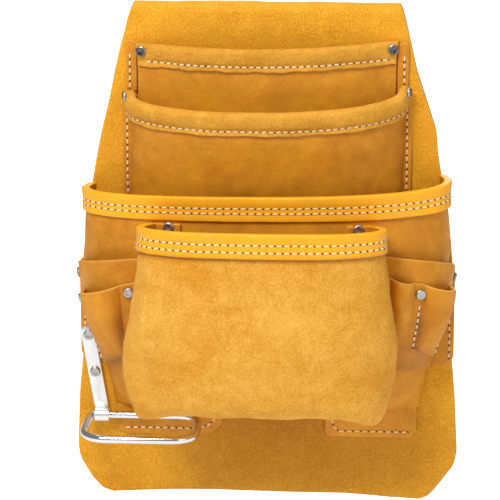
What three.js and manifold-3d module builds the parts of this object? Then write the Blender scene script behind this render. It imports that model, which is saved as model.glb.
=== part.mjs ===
// A ten-pocket hide nail and tool apron that hangs from a belt.
// Millimetres, +Z up, +X to the right as seen from the front, and the front faces -Y.
// The origin is the middle of the belt tunnel.
// Lengths called depth run forward from the back panel's front face, and lengths called
// drop run down from the top edge.
import * as THREE from "three";
import { mergeVertices } from "three/addons/utils/BufferGeometryUtils.js";
import Module from "manifold-3d";

const wasm = await Module();
wasm.setup();

// Hide and seams
const leather = 2.2; // thickness of every hide piece
const seatGap = 0.3; // air between pieces that lie flat on each other
const curveGap = 0.6; // air between pieces that lie on each other over a curve
const rawEdgeDrop = 0.5; // height of the step at a hem's raw edge

// Back panel and its belt tunnel
const panelHeight = 327.5;
const panelHalfWidth = 124;
const beltHeight = 78; // height left free for the belt
const beltGap = 7; // depth left free for the belt
const tunnelTaper = 12; // drop over which the tunnel closes
const tunnelSeam = 12; // height of the sewn strip under the tunnel
const pouchInset = 5; // from the panel's widest edge to the main pouch's side seam
const foldSteps = 8;
const tunnelSteps = 4;

// Shares of the height going down, and of the half-width to the left and right
const panelOutline = [
  { down: 0, left: 0.635, right: 0.645 },
  { down: 0.002, left: 0.656, right: 0.661 },
  { down: 0.005, left: 0.674, right: 0.672 },
  { down: 0.0147, left: 0.691, right: 0.6855 },
  { down: 0.03, left: 0.706, right: 0.699 },
  { down: 0.049, left: 0.718, right: 0.711 },
  { down: 0.084, left: 0.745, right: 0.733 },
  { down: 0.127, left: 0.773, right: 0.76 },
  { down: 0.185, left: 0.806, right: 0.812 },
  { down: 0.243, left: 0.845, right: 0.864 },
  { down: 0.29, left: 0.872, right: 0.876 },
  { down: 0.405, left: 0.927, right: 0.934 },
  { down: 0.536, left: 0.966, right: 0.966 },
  { down: 0.696, left: 0.962, right: 0.962 },
  { down: 0.777, left: 0.985, right: 0.982 },
  { down: 0.899, left: 1.0, right: 1.0 },
  { down: 0.929, left: 0.989, right: 0.985 },
  { down: 0.967, left: 0.93, right: 0.91 },
  { down: 0.991, left: 0.88, right: 0.86 },
  { down: 1, left: 0.82, right: 0.81 },
  { down: 0.999, left: 0.62, right: 0.65 },
  { down: 0.992, left: 0.25, right: 0.41 },
  { down: 0.989, left: 0.0, right: 0.0 },
];

// Each pouch is a wall that stands off what it is sewn to. Its rows go from the rim down:
// row 1 is the hem's raw edge. drop, width and reach are shares of the pouch's own height,
// half-width and depth, corner is how square its plan is, tuck is the share of the tuck that
// draws its side seams inwards, and slack is the share of the rim's sag and tilt left there.
const upperRear = {
  rimDrop: 24, height: 132, halfWidth: 84.5, depth: 16, sag: 2.2, tilt: 1.5, tuck: 0,
  columns: 18, bodySteps: 4,
  rows: [
    { drop: 0.0, width: 1.0, reach: 1.0, corner: 1.0, tuck: 0, slack: 1.0 },
    { drop: 0.11, width: 0.985, reach: 1.0, corner: 1.0, tuck: 0, slack: 0.9 },
    { drop: 0.4, width: 0.985, reach: 0.8, corner: 1.0, tuck: 0, slack: 0.3 },
    { drop: 0.75, width: 0.98, reach: 0.45, corner: 1.0, tuck: 0, slack: 0 },
    { drop: 1.0, width: 0.95, reach: 0.0, corner: 1.0, tuck: 0, slack: 0 },
  ],
};
const upperNail = {
  rimDrop: 53, height: 124, halfWidth: 88, depth: 36, sag: 9, tilt: 2.5, tuck: 2,
  columns: 24, bodySteps: 6,
  rows: [
    { drop: 0.0, width: 1.0, reach: 1.0, corner: 2.15, tuck: 0.5, slack: 1.0 },
    { drop: 0.129, width: 1.0, reach: 1.0, corner: 2.1, tuck: 1.0, slack: 0.85 },
    { drop: 0.35, width: 0.99, reach: 0.84, corner: 2.0, tuck: 0.5, slack: 0.4 },
    { drop: 0.6, width: 0.985, reach: 0.66, corner: 2.0, tuck: 0.2, slack: 0.1 },
    { drop: 0.84, width: 0.98, reach: 0.45, corner: 2.0, tuck: 0, slack: 0 },
    { drop: 0.95, width: 0.96, reach: 0.25, corner: 1.9, tuck: 0, slack: 0 },
    { drop: 1.0, width: 0.94, reach: 0.0, corner: 1.8, tuck: 0, slack: 0 },
  ],
};
const mainPouch = {
  rimDrop: 113, height: 151, halfWidth: panelHalfWidth - pouchInset, depth: 45,
  sag: 1, tilt: 4, tuck: 8, columns: 30, bodySteps: 12,
  rows: [
    { drop: 0.0, width: 1.0, reach: 0.95, corner: 2.5, tuck: 1.0, slack: 1.0 },
    { drop: 0.103, width: 1.0, reach: 0.98, corner: 2.5, tuck: 0.8, slack: 0.7 },
    { drop: 0.28, width: 0.995, reach: 1.0, corner: 2.5, tuck: 0.3, slack: 0.2 },
    { drop: 0.5, width: 0.955, reach: 1.0, corner: 2.45, tuck: 0.05, slack: 0 },
    { drop: 0.66, width: 0.905, reach: 1.0, corner: 2.3, tuck: 0, slack: 0 },
    { drop: 0.8, width: 0.87, reach: 0.96, corner: 2.1, tuck: 0, slack: 0 },
    { drop: 0.92, width: 0.845, reach: 0.76, corner: 1.8, tuck: 0, slack: 0 },
    { drop: 0.985, width: 0.83, reach: 0.42, corner: 1.6, tuck: 0, slack: 0 },
    { drop: 1.0, width: 0.83, reach: 0.0, corner: 1.6, tuck: 0, slack: 0 },
    { drop: 1.14, width: 0.83, reach: 0.0, corner: 1.6, tuck: 0, slack: 0 },
  ],
};
const frontPouch = {
  rimDrop: 123, height: 124, halfWidth: 94, depth: 49, sag: 1, tilt: 0,
  columns: 34, bodySteps: 12,
  seamHalf: 67, // half the distance between the folds where the sides meet the main pouch
  flange: 15, // width of the sewn side strip that turns inwards
  flangeShare: 0.14, // share of the grid that the strip takes at each side
  sideDrop: 8.5, // how far the rim falls from the front to that strip
  cornerDrop: 5.5, // how far the bottom's two front corners hang below its middle
  rows: [ // point is the share of that corner drop
    { drop: 0.0, width: 0.82, reach: 0.97, corner: 4.2, slack: 1.0, point: 0 },
    { drop: 0.125, width: 0.845, reach: 0.98, corner: 4.2, slack: 0.8, point: 0 },
    { drop: 0.3, width: 0.885, reach: 1.0, corner: 4.0, slack: 0.3, point: 0 },
    { drop: 0.5, width: 0.935, reach: 1.0, corner: 3.7, slack: 0, point: 0 },
    { drop: 0.66, width: 0.985, reach: 0.98, corner: 3.4, slack: 0, point: 0.05 },
    { drop: 0.8, width: 0.946, reach: 0.94, corner: 3.8, slack: 0, point: 0.3 },
    { drop: 0.93, width: 0.862, reach: 0.88, corner: 5.5, slack: 0, point: 0.8 },
    { drop: 0.985, width: 0.818, reach: 0.78, corner: 7.0, slack: 0, point: 1 },
    { drop: 1.0, width: 0.8, reach: 0.54, corner: 7.5, slack: 0, point: 0.95 },
    { drop: 1.0, width: 0.79, reach: 0.24, corner: 7.5, slack: 0, point: 0.6 },
    { drop: 1.005, width: 0.78, reach: 0.0, corner: 7.0, slack: 0, point: 0.2 },
  ],
};

// The main pouch's feet: the strip under its bottom seam is cut away between them
const feet = {
  leftEnd: -28, rightEnd: 38, leftRadius: 17, rightRadius: 3, roof: 3, roundSteps: 6,
};

// Tool pockets lie on the main pouch's sides. inner and outer are places on the pouch's
// plan, from 0 in the middle to 1 at its side seam. Rim drops are given at both ends.
const toolPocket = {
  seamGap: 2.5, // room between the inner edge and the front pouch's side
  bulge: 8, bottomDrop: 235.5, bottomRise: 8,
  edgeInset: 3.5, edgeTopDrop: 166, edgeRound: 8, edgeOverlap: 1.2, edgeSteps: 6,
  bulgeLean: 0.6, // below 1, the bulge is fullest nearer the inner edge
  bulgeRound: 1.3, // above 1, the bulge leaves its ends softly
  rimCurve: 1.5, // above 1, the rim falls mostly near the outer end
  acrossSteps: 16,
  downSteps: 8,
  // shares of the bulge at even steps from the rim to the bottom
  rows: [{ bulge: 1.0 }, { bulge: 0.94 }, { bulge: 0.72 }, { bulge: 0.42 }, { bulge: 0.0 }],
  left: { rimInner: 153.5, rimOuter: 168 },
  right: { rimInner: 151, rimOuter: 169 },
};

// Pencil loops lie on the tool pockets. Places run across the tool pocket from 0 at its
// inner edge to 1 at its outer one. The pencil loop and the narrow bit loop stand off between
// their two ends.
const pencilPocket = {
  humpRound: 0.8, // below 1, a loop is fuller than a half wave
  fade: 2.2, // how late the loop closes on its way down
  downSteps: 6,
  left: {
    acrossSteps: 14,
    inner: 0.05, outer: 0.66, topInner: 167.5, topOuter: 180, bottomInner: 214, bottomOuter: 229,
    bitFrom: 0, bitTo: 0.1, bitHeight: 0, loopFrom: 0.2, loopTo: 0.57, loopHeight: 8,
  },
  right: {
    acrossSteps: 20,
    inner: 0.05, outer: 0.7, topInner: 163, topOuter: 175.5, bottomInner: 205, bottomOuter: 222,
    bitFrom: 0.09, bitTo: 0.23, bitHeight: 5, loopFrom: 0.33, loopTo: 0.63, loopHeight: 8,
  },
};
const sides = [{ name: "left", sign: -1 }, { name: "right", sign: 1 }];

// Rivets: places are shares across and levels or shares down the piece that holds them
const rivetPlaces = {
  upperRear: { across: 0.955, level: 0.5 },
  upperNail: { across: 0.9, level: 0.25 },
  frontPouch: { across: 0.935, level: 0.3 },
  toolPocket: { outward: 0.86, down: 0.11 },
  pencilLeftInner: { outward: 0.13, down: 0.12 },
  pencilLeftOuter: { outward: 0.94, down: 0.1 },
  pencilRightInner: { outward: 0.36, down: 0.14 },
};
const rivetTurns = [0.4, 0.75]; // shares of a quarter turn where the dome's rings lie
const rivetRadius = 3.5;
const rivetRise = 1.7;
const rivetRim = 0.5;
const rivetSeat = 0.7; // air under a rivet head that lies on a curved hide
const rivetSides = 10;

// Hammer holder
// Insets are measured from the panel's widest left edge
const hammerPlate = {
  width: 9, thick: 1.6, topDrop: 212, topInset: 8, footInset: 17, cornerRadius: 2.5, eyeSides: 20,
  rivetDrop: 217.5, rivetStep: 25, rivetCount: 2,
};
const hammerRing = {
  wire: 5, drop: 271, inset: 9, width: 72, front: 54, rearRadius: 4, frontRadius: 15,
  sides: 8, cornerSteps: 5, pathSteps: 52,
};

// Surface finishes
const finish = {
  smooth: { color: 0xd99a2b, roughness: 0.55, metalness: 0 },
  suede: { color: 0xdca245, roughness: 0.95, metalness: 0 },
  steel: { color: 0xc9cbcc, roughness: 0.3, metalness: 1 },
  chrome: { color: 0xd8dadc, roughness: 0.12, metalness: 1 },
};

// How the walls meet what they are sewn to
const bellRound = 1.35; // above 1, the upper rear pocket leaves the panel softly
const tuckPower = 3; // how close to the seam a pouch's tuck stays
const gussetPower = 2; // the same for the front pouch's sides

const quarterTurn = Math.PI / 2;
const nudge = 1e-3; // step for measuring a surface's slope
const seatPasses = 12; // steps that settle one piece on another

/** A point given by its place across, its depth forward and its drop from the top edge. */
function place(across, depth, drop) {
  return new THREE.Vector3(across, -depth, -drop);
}

/** The slope of a column at a row, kept flat at peaks so that the curve never overshoots. */
function slopeAt(rows, column, index) {
  const before = rows[index - 1];
  const after = rows[index + 1];
  if (!before || !after) {
    return 0;
  }
  const rise = rows[index][column] - before[column];
  const next = after[column] - rows[index][column];
  if (rise * next <= 0) {
    return 0;
  }
  return (2 * rise * next) / (rise + next);
}

/** A column's value at a level, where level 0 is the first row and each row adds 1. */
function readRow(rows, column, level) {
  const last = rows.length - 1;
  const index = Math.min(Math.max(Math.floor(level), 0), last - 1);
  const t = level - index;
  const start = rows[index][column];
  const end = rows[index + 1][column];
  const lead = slopeAt(rows, column, index);
  const trail = slopeAt(rows, column, index + 1);
  const square = t * t;
  const cube = square * t;
  return start * (2 * cube - 3 * square + 1) + lead * (cube - 2 * square + t)
    + end * (3 * square - 2 * cube) + trail * (cube - square);
}

/** Plan of a pouch that leaves the panel squarely: share -1 to 1 gives across and forward. */
function roundPlan(share, corner) {
  const turn = share * quarterTurn;
  const power = 2 / corner;
  return {
    across: Math.sign(turn) * Math.abs(Math.sin(turn)) ** power,
    forward: Math.max(Math.cos(turn), 0) ** power,
  };
}

/** Plan of a pocket whose sides lie flat on the panel. */
function bellPlan(share) {
  return { across: share, forward: (1 - share * share) ** bellRound };
}

/** The inner face of a pouch that is sewn to the back panel. */
function pouchFace(pouch, plan) {
  const half = pouch.halfWidth - leather;
  const reach = pouch.depth - leather - seatGap;
  return (share, level) => {
    const read = (column) => readRow(pouch.rows, column, level);
    const at = plan(share, read("corner"));
    const tuck = pouch.tuck * read("tuck") * (1 - at.forward) ** tuckPower * Math.sign(share);
    const slack = pouch.sag * (1 - share * share) - pouch.tilt * share;
    return place(
      half * read("width") * at.across - tuck,
      seatGap + reach * read("reach") * at.forward,
      pouch.rimDrop + pouch.height * read("drop") + slack * read("slack"),
    );
  };
}

/** The outward normal of a face, where going across and going down turn clockwise. */
function faceNormal(face, across, down, downLimit) {
  const left = face(Math.max(across - nudge, -1), down);
  const right = face(Math.min(across + nudge, 1), down);
  const above = face(across, Math.max(down - nudge, 0));
  const below = face(across, Math.min(down + nudge, downLimit));
  const sideways = right.sub(left);
  const downwards = below.sub(above);
  return downwards.cross(sideways).normalize();
}

/** A point that stands off a face by a height along its normal. */
function standOff(face, across, down, height, downLimit) {
  const normal = faceNormal(face, across, down, downLimit);
  return face(across, down).addScaledVector(normal, height);
}

/** Keeps a point just in front of the back panel. */
function restOnPanel(point) {
  point.y = Math.min(point.y, -seatGap);
  return point;
}

/** Shares from -1 to 1 that divide a face's rim into equal lengths. */
function evenShares(face, down, count) {
  const samples = 400;
  const lengths = [0];
  let previous = face(-1, down);
  for (let i = 1; i <= samples; i += 1) {
    const point = face((2 * i) / samples - 1, down);
    lengths.push(lengths[i - 1] + point.distanceTo(previous));
    previous = point;
  }
  const shares = [];
  let k = 0;
  for (let i = 0; i <= count; i += 1) {
    const wanted = (lengths[samples] * i) / count;
    while (k < samples - 1 && lengths[k + 1] < wanted) {
      k += 1;
    }
    const part = (wanted - lengths[k]) / (lengths[k + 1] - lengths[k]);
    shares.push((2 * (k + part)) / samples - 1);
  }
  return shares;
}

/** The levels of a hemmed pouch's grid with the wall's thickness at each one. */
function hemLevels(pouch) {
  const wholeStep = pouch.height * (pouch.rows[2].drop - pouch.rows[1].drop);
  const levels = [
    { down: 0, thick: 2 * leather },
    { down: 0.5, thick: 2 * leather },
    { down: 1, thick: 2 * leather },
    { down: 1 + rawEdgeDrop / wholeStep, thick: leather },
  ];
  const last = pouch.rows.length - 1;
  const count = pouch.bodySteps;
  for (let i = 1; i <= count; i += 1) {
    levels.push({ down: 1 + ((last - 1) * i) / count, thick: leather });
  }
  return levels;
}

/** Adds the two triangles of a four-cornered patch. */
function addPatch(triangles, a, b, c, d) {
  triangles.push(a, b, c, a, c, d);
}

/** A geometry from shared points and the triangles between them. */
function meshOf(points, triangles) {
  const geometry = new THREE.BufferGeometry().setFromPoints(points);
  geometry.setIndex(triangles);
  geometry.computeVertexNormals();
  return geometry;
}

/**
 * A closed wall of hide between an inner face and the same face moved outwards.
 * shares run left to right, and levels hold the thickness at each row.
 */
function hideWall(face, shares, levels, settle = restOnPanel) {
  const limit = levels[levels.length - 1].down;
  const points = [];
  const rowLength = shares.length;
  for (const skin of [0, 1]) {
    for (const level of levels) {
      for (const share of shares) {
        points.push(settle(standOff(face, share, level.down, skin * level.thick, limit)));
      }
    }
  }
  const outerStart = rowLength * levels.length;
  const triangles = [];
  for (let j = 0; j < levels.length - 1; j += 1) {
    for (let i = 0; i < rowLength - 1; i += 1) {
      const a = j * rowLength + i;
      const b = a + 1;
      const c = b + rowLength;
      const d = a + rowLength;
      addPatch(triangles, a, b, c, d);
      addPatch(triangles, outerStart + a, outerStart + d, outerStart + c, outerStart + b);
    }
  }
  const bottom = (levels.length - 1) * rowLength;
  for (let i = 0; i < rowLength - 1; i += 1) {
    addPatch(triangles, i + 1, i, outerStart + i, outerStart + i + 1);
    addPatch(triangles, bottom + i, bottom + i + 1, outerStart + bottom + i + 1, outerStart + bottom + i);
  }
  for (let j = 0; j < levels.length - 1; j += 1) {
    const a = j * rowLength;
    const d = a + rowLength;
    addPatch(triangles, a, d, outerStart + d, outerStart + a);
    const e = a + rowLength - 1;
    const f = e + rowLength;
    addPatch(triangles, f, e, outerStart + e, outerStart + f);
  }
  return meshOf(points, triangles);
}

/** A pouch's wall with its folded hem, on a grid of the pouch's own fineness. */
function hemmedWall(face, pouch, settle = restOnPanel) {
  return hideWall(face, evenShares(face, 0, pouch.columns), hemLevels(pouch), settle);
}

/** A solid that can be joined and cut. */
function toSolid(geometry) {
  const bare = geometry.clone();
  bare.deleteAttribute("normal");
  bare.deleteAttribute("uv");
  const merged = mergeVertices(bare, 1e-5);
  const mesh = new wasm.Mesh({
    numProp: 3,
    vertProperties: new Float32Array(merged.attributes.position.array),
    triVerts: new Uint32Array(merged.index.array),
  });
  mesh.merge();
  return new wasm.Manifold(mesh);
}

/** The geometry of a joined or cut solid. */
function toGeometry(solid) {
  const mesh = solid.getMesh();
  const geometry = new THREE.BufferGeometry();
  geometry.setAttribute("position", new THREE.BufferAttribute(mesh.vertProperties, 3));
  geometry.setIndex(new THREE.BufferAttribute(mesh.triVerts, 1));
  geometry.computeVertexNormals();
  return geometry;
}

const hides = new THREE.Group(); // holds places measured from the panel's front face and top edge

/** Adds a named piece with its finish. */
function addPiece(name, geometry, look) {
  const mesh = new THREE.Mesh(geometry, new THREE.MeshStandardMaterial(finish[look]));
  mesh.name = name;
  hides.add(mesh);
  return mesh;
}

/** The panel's front view as a flat shape, right side down and left side up. */
function panelFront() {
  const across = (row, side) => row[side] * panelHalfWidth;
  const right = panelOutline.map((row) => [across(row, "right"), -row.down * panelHeight]);
  const left = panelOutline.slice(0, -1).reverse()
    .map((row) => [-across(row, "left"), -row.down * panelHeight]);
  return new THREE.Shape([...right, ...left].map(([x, y]) => new THREE.Vector2(x, y)));
}

/** The folded strip's side view: x is depth forward, y is height. */
function panelSide() {
  const outerRadius = leather + beltGap / 2;
  const innerRadius = beltGap / 2;
  const foldDepth = -outerRadius;
  const seamInner = -leather - seatGap;
  const flapInner = -leather - beltGap;
  const straightEnd = leather + beltHeight;
  const seamStart = straightEnd + tunnelTaper;
  const seamEnd = seamStart + tunnelSeam;
  const taper = (from) => {
    const points = [];
    for (let i = 1; i < tunnelSteps; i += 1) {
      const t = i / tunnelSteps;
      const eased = t * t * (3 - 2 * t);
      points.push([from + (seamInner - flapInner) * eased, -(straightEnd + tunnelTaper * t)]);
    }
    return points;
  };
  const arc = (radius, start) => {
    const points = [];
    for (let i = 0; i <= foldSteps; i += 1) {
      const turn = Math.abs(start - i / foldSteps) * Math.PI;
      points.push([foldDepth + radius * Math.cos(turn), -outerRadius + radius * Math.sin(turn)]);
    }
    return points;
  };
  const outline = [
    [0, -panelHeight - 1],
    ...arc(outerRadius, 0),
    [flapInner - leather, -straightEnd],
    ...taper(flapInner - leather),
    [seamInner - leather, -seamStart],
    [seamInner - leather, -seamEnd],
    [seamInner, -seamEnd],
    [seamInner, -seamStart],
    ...taper(flapInner).reverse(),
    [flapInner, -straightEnd],
    ...arc(innerRadius, 1),
    [-leather, -panelHeight - 1],
  ];
  return new THREE.Shape(outline.map(([x, y]) => new THREE.Vector2(x, y)));
}

/** The back panel: its front view cut through its folded side view. */
function buildBackPanel() {
  const deep = 6 * (leather + beltGap);
  const front = new THREE.ExtrudeGeometry(panelFront(), { depth: deep, bevelEnabled: false, steps: 1 });
  front.translate(0, 0, -deep / 2);
  front.rotateX(quarterTurn);
  const wide = 3 * panelHalfWidth;
  const side = new THREE.ExtrudeGeometry(panelSide(), { depth: wide, bevelEnabled: false, steps: 1 });
  side.translate(0, 0, -wide / 2);
  side.rotateX(quarterTurn);
  side.rotateZ(-quarterTurn);
  addPiece("back_panel", toGeometry(toSolid(front).intersect(toSolid(side))), "smooth");
}

const upperRearFace = pouchFace(upperRear, bellPlan);
const upperNailFace = pouchFace(upperNail, roundPlan);
const mainFace = pouchFace(mainPouch, roundPlan);

/** The two upper pockets. */
function buildUpperPockets() {
  addPiece("upper_rear_pocket", hemmedWall(upperRearFace, upperRear), "smooth");
  addPiece("upper_nail_pocket", hemmedWall(upperNailFace, upperNail), "smooth");
}

/** The gap between the main pouch's feet, as a cutting block with two round corners. */
function footGap() {
  const top = -(mainPouch.rimDrop + mainPouch.height + leather + feet.roof);
  const bottom = top - mainPouch.height;
  const outline = new THREE.Shape();
  outline.moveTo(feet.leftEnd - feet.leftRadius, bottom);
  outline.lineTo(feet.rightEnd + feet.rightRadius, bottom);
  const footBottom = -(mainPouch.rimDrop + mainPouch.height * mainPouch.rows.at(-1).drop);
  outline.lineTo(feet.rightEnd + feet.rightRadius, footBottom);
  outline.absarc(feet.rightEnd + feet.rightRadius, footBottom + feet.rightRadius, feet.rightRadius,
    -quarterTurn, -Math.PI, true);
  outline.lineTo(feet.rightEnd, top);
  outline.lineTo(feet.leftEnd, top);
  outline.lineTo(feet.leftEnd, footBottom + feet.leftRadius);
  outline.absarc(feet.leftEnd - feet.leftRadius, footBottom + feet.leftRadius, feet.leftRadius,
    0, -quarterTurn, true);
  const deep = 2 * (seatGap + leather);
  const block = new THREE.ExtrudeGeometry(outline, {
    depth: 2 * deep, bevelEnabled: false, curveSegments: feet.roundSteps,
  });
  block.translate(0, 0, -deep);
  block.rotateX(quarterTurn);
  return toSolid(block);
}

/** The main pouch with its two feet. */
function buildMainPouch() {
  const wall = hemmedWall(mainFace, mainPouch);
  addPiece("main_pouch", toGeometry(toSolid(wall).subtract(footGap())), "smooth");
}

const mainBottomLevel = mainPouch.rows.length - 2;

/** The main pouch's level at a drop, away from the rim's own sag. */
function mainLevel(drop) {
  const wanted = (drop - mainPouch.rimDrop) / mainPouch.height;
  let low = 0;
  let high = mainBottomLevel;
  for (let i = 0; i < 24; i += 1) {
    const middle = (low + high) / 2;
    if (readRow(mainPouch.rows, "drop", middle) < wanted) {
      low = middle;
    } else {
      high = middle;
    }
  }
  return (low + high) / 2;
}

/** The share at which the main pouch's face lies a given distance across, on one level. */
function mainShare(across, level) {
  const half = (mainPouch.halfWidth - leather) * readRow(mainPouch.rows, "width", level);
  const corner = readRow(mainPouch.rows, "corner", level);
  const reach = Math.min(Math.abs(across) / half, 1) ** (corner / 2);
  return (Math.sign(across) * Math.asin(reach)) / quarterTurn;
}

/** Depth of the main pouch's outer skin at a place across and a drop. */
function mainFrontDepth(across, drop) {
  const aim = new THREE.Vector2(across, drop);
  let skin = null;
  for (let pass = 0; pass < seatPasses; pass += 1) {
    const level = mainLevel(aim.y);
    skin = standOff(mainFace, mainShare(aim.x, level), level, leather, mainBottomLevel);
    aim.x += across - skin.x;
    aim.y += drop + skin.z;
  }
  return -skin.y;
}

/** The front pouch's inner face: front and sides, and then the strip that turns inwards. */
function frontFace(share, level) {
  const read = (column) => readRow(frontPouch.rows, column, level);
  const { flangeShare, seamHalf, flange } = frontPouch;
  const side = Math.sign(share) || 1;
  const along = Math.min(Math.abs(share) / (1 - flangeShare), 1);
  const inward = Math.max(Math.abs(share) - (1 - flangeShare), 0) / flangeShare;
  const at = roundPlan(side * along, read("corner"));
  const half = (frontPouch.halfWidth - leather) * read("width");
  const tuck = (half - seamHalf) * (1 - at.forward) ** gussetPower;
  const across = half * at.across - side * (tuck + flange * inward);
  const slack = frontPouch.sag * (1 - share * share) - frontPouch.tilt * share;
  const fall = frontPouch.sideDrop * (1 - at.forward) + slack;
  const drop = frontPouch.rimDrop + frontPouch.height * read("drop") + fall * read("slack");
  const point = frontPouch.cornerDrop * read("point") * Math.sin(Math.PI * along) ** 2;
  const base = mainFrontDepth(across, drop) + curveGap + leather;
  const reach = (frontPouch.depth - 2 * leather) * read("reach") * at.forward;
  return place(across, base + reach, drop + point);
}

/** The front pouch. */
function buildFrontPouch() {
  const inFront = (point) => {
    const floor = mainFrontDepth(point.x, -point.z) + curveGap / 2;
    point.y = Math.min(point.y, -floor);
    return point;
  };
  addPiece("front_pouch", hemmedWall(frontFace, frontPouch, inFront), "suede");
}

/** How far a loop stands off at a place between its ends. */
function humpRise(where, from, to, height) {
  const t = (where - from) / (to - from);
  if (t <= 0 || t >= 1) {
    return 0;
  }
  return height * Math.sin(Math.PI * t) ** pencilPocket.humpRound;
}

/** Keeps a share between 0 and 1. */
function within(share) {
  return Math.min(Math.max(share, 0), 1);
}

/** The drops of a tool pocket's rim and bottom at a share outward. */
function toolEnds(side, outward) {
  const { rimInner, rimOuter } = toolPocket[side.name];
  return {
    rim: rimInner + (rimOuter - rimInner) * outward ** toolPocket.rimCurve,
    bottom: toolPocket.bottomDrop - toolPocket.bottomRise * (1 - outward),
  };
}

/** A tool pocket's inner face: across runs 0 to 1 from left to right, down from 0 to 1. */
function toolFace(side) {
  const { rows, bulgeLean, bulgeRound } = toolPocket;
  const innerEdge = frontPouch.seamHalf + leather + toolPocket.seamGap;
  return (across, down) => {
    const outward = within(side.sign > 0 ? across : 1 - across);
    const ends = toolEnds(side, outward);
    const level = mainLevel(ends.rim + (ends.bottom - ends.rim) * down);
    const inner = mainShare(innerEdge, level);
    const share = side.sign * (inner + (1 - inner) * outward);
    const swell = toolPocket.bulge * Math.sin(Math.PI * outward ** bulgeLean) ** bulgeRound;
    const stand = swell * readRow(rows, "bulge", down * (rows.length - 1));
    return standOff(mainFace, share, level, leather + curveGap + stand, mainBottomLevel);
  };
}

/** A pencil pocket's inner face on its tool pocket. */
function pencilFace(side) {
  const sizes = pencilPocket[side.name];
  const tool = toolFace(side);
  return (across, down) => {
    const outward = within(side.sign > 0 ? across : 1 - across);
    const where = sizes.inner + (sizes.outer - sizes.inner) * outward;
    const top = sizes.topInner + (sizes.topOuter - sizes.topInner) * outward;
    const bottom = sizes.bottomInner + (sizes.bottomOuter - sizes.bottomInner) * outward;
    const onTool = side.sign > 0 ? where : 1 - where;
    const ends = toolEnds(side, where);
    const level = (top + (bottom - top) * down - ends.rim) / (ends.bottom - ends.rim);
    const rise = humpRise(where, sizes.loopFrom, sizes.loopTo, sizes.loopHeight)
      + humpRise(where, sizes.bitFrom, sizes.bitTo, sizes.bitHeight);
    const stand = leather + curveGap + rise * (1 - down ** pencilPocket.fade);
    return standOff(tool, onTool, level, stand, 1);
  };
}

/** Even steps from 0 to 1. */
function evenSteps(count) {
  return Array.from({ length: count + 1 }, (_, i) => i / count);
}

/** The flat strip of a tool pocket that lies on the back panel's edge. */
function edgeStrip(side) {
  const { edgeInset, edgeTopDrop, edgeRound, edgeOverlap, bottomDrop } = toolPocket;
  const edge = panelHalfWidth - edgeInset;
  const tool = toolFace(side);
  const outerEnd = side.sign > 0 ? 1 : 0;
  const seam = [];
  const ends = toolEnds(side, 1);
  for (const part of evenSteps(toolPocket.edgeSteps)) {
    const drop = edgeTopDrop + (bottomDrop - edgeTopDrop) * part;
    const level = within((drop - ends.rim) / (ends.bottom - ends.rim));
    seam.push(new THREE.Vector2(tool(outerEnd, level).x + side.sign * edgeOverlap, -drop));
  }
  const outline = new THREE.Shape(seam);
  outline.lineTo(side.sign * (edge - edgeRound), -bottomDrop);
  outline.quadraticCurveTo(side.sign * edge, -bottomDrop, side.sign * edge, -bottomDrop + edgeRound);
  outline.lineTo(side.sign * edge, -edgeTopDrop - edgeRound);
  outline.quadraticCurveTo(side.sign * edge, -edgeTopDrop, seam[0].x, -edgeTopDrop);
  const strip = new THREE.ExtrudeGeometry(outline, {
    depth: leather, bevelEnabled: false, curveSegments: 3,
  });
  strip.rotateX(quarterTurn);
  strip.translate(0, -seatGap, 0);
  return toSolid(strip);
}

/** The tool and pencil pockets of one side. */
function buildSide(side) {
  const walls = (steps) => evenSteps(steps).map((down) => ({ down, thick: leather }));
  const free = (point) => point;
  const toolAcross = evenSteps(toolPocket.acrossSteps);
  const tool = toSolid(hideWall(toolFace(side), toolAcross, walls(toolPocket.downSteps)));
  addPiece(`${side.name}_tool_pocket`, toGeometry(tool.add(edgeStrip(side))), "smooth");
  const across = evenSteps(pencilPocket[side.name].acrossSteps);
  const pencil = hideWall(pencilFace(side), across, walls(pencilPocket.downSteps), free);
  addPiece(`${side.name}_pencil_pocket`, pencil, "smooth");
}

/** A domed rivet head that lies on a face, at a point and along a normal. */
function addRivet(name, point, normal) {
  const profile = [new THREE.Vector2(0, 0), new THREE.Vector2(rivetRadius, 0),
    new THREE.Vector2(rivetRadius, rivetRim)];
  for (const turn of rivetTurns) {
    const angle = turn * quarterTurn;
    const rise = rivetRim + (rivetRise - rivetRim) * Math.sin(angle);
    profile.push(new THREE.Vector2(rivetRadius * Math.cos(angle), rise));
  }
  profile.push(new THREE.Vector2(0, rivetRise));
  const mesh = addPiece(name, new THREE.LatheGeometry(profile, rivetSides), "steel");
  mesh.position.copy(point);
  mesh.quaternion.setFromUnitVectors(new THREE.Vector3(0, 1, 0), normal);
  return mesh;
}

/** A rivet head on the outside of a wall of a known thickness. */
function rivetOnWall(name, face, share, down, thick, downLimit) {
  const normal = faceNormal(face, share, down, downLimit);
  addRivet(name, standOff(face, share, down, thick + rivetSeat, downLimit), normal);
}

/** A rivet head on a pouch's hem. */
function rivetOnHem(name, face, pouch, spot, hand) {
  const limit = pouch.rows.length - 1;
  rivetOnWall(name, face, hand * spot.across, spot.level, 2 * leather, limit);
}

/** A rivet head on a side pocket. */
function rivetOnSide(name, face, spot, side) {
  const across = side.sign > 0 ? spot.outward : 1 - spot.outward;
  rivetOnWall(name, face, across, spot.down, leather, 1);
}

/** A rivet head on the strip where the front pouch is sewn to the main pouch. */
function rivetOnStrip(side) {
  const spot = rivetPlaces.frontPouch;
  const strip = side.sign * spot.across;
  const forward = faceNormal(frontFace, strip, spot.level, frontPouch.rows.length - 1).negate();
  const seat = frontFace(strip, spot.level).addScaledVector(forward, rivetSeat);
  addRivet(`front_pouch_rivet_${side.name}`, seat, forward);
}

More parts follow.
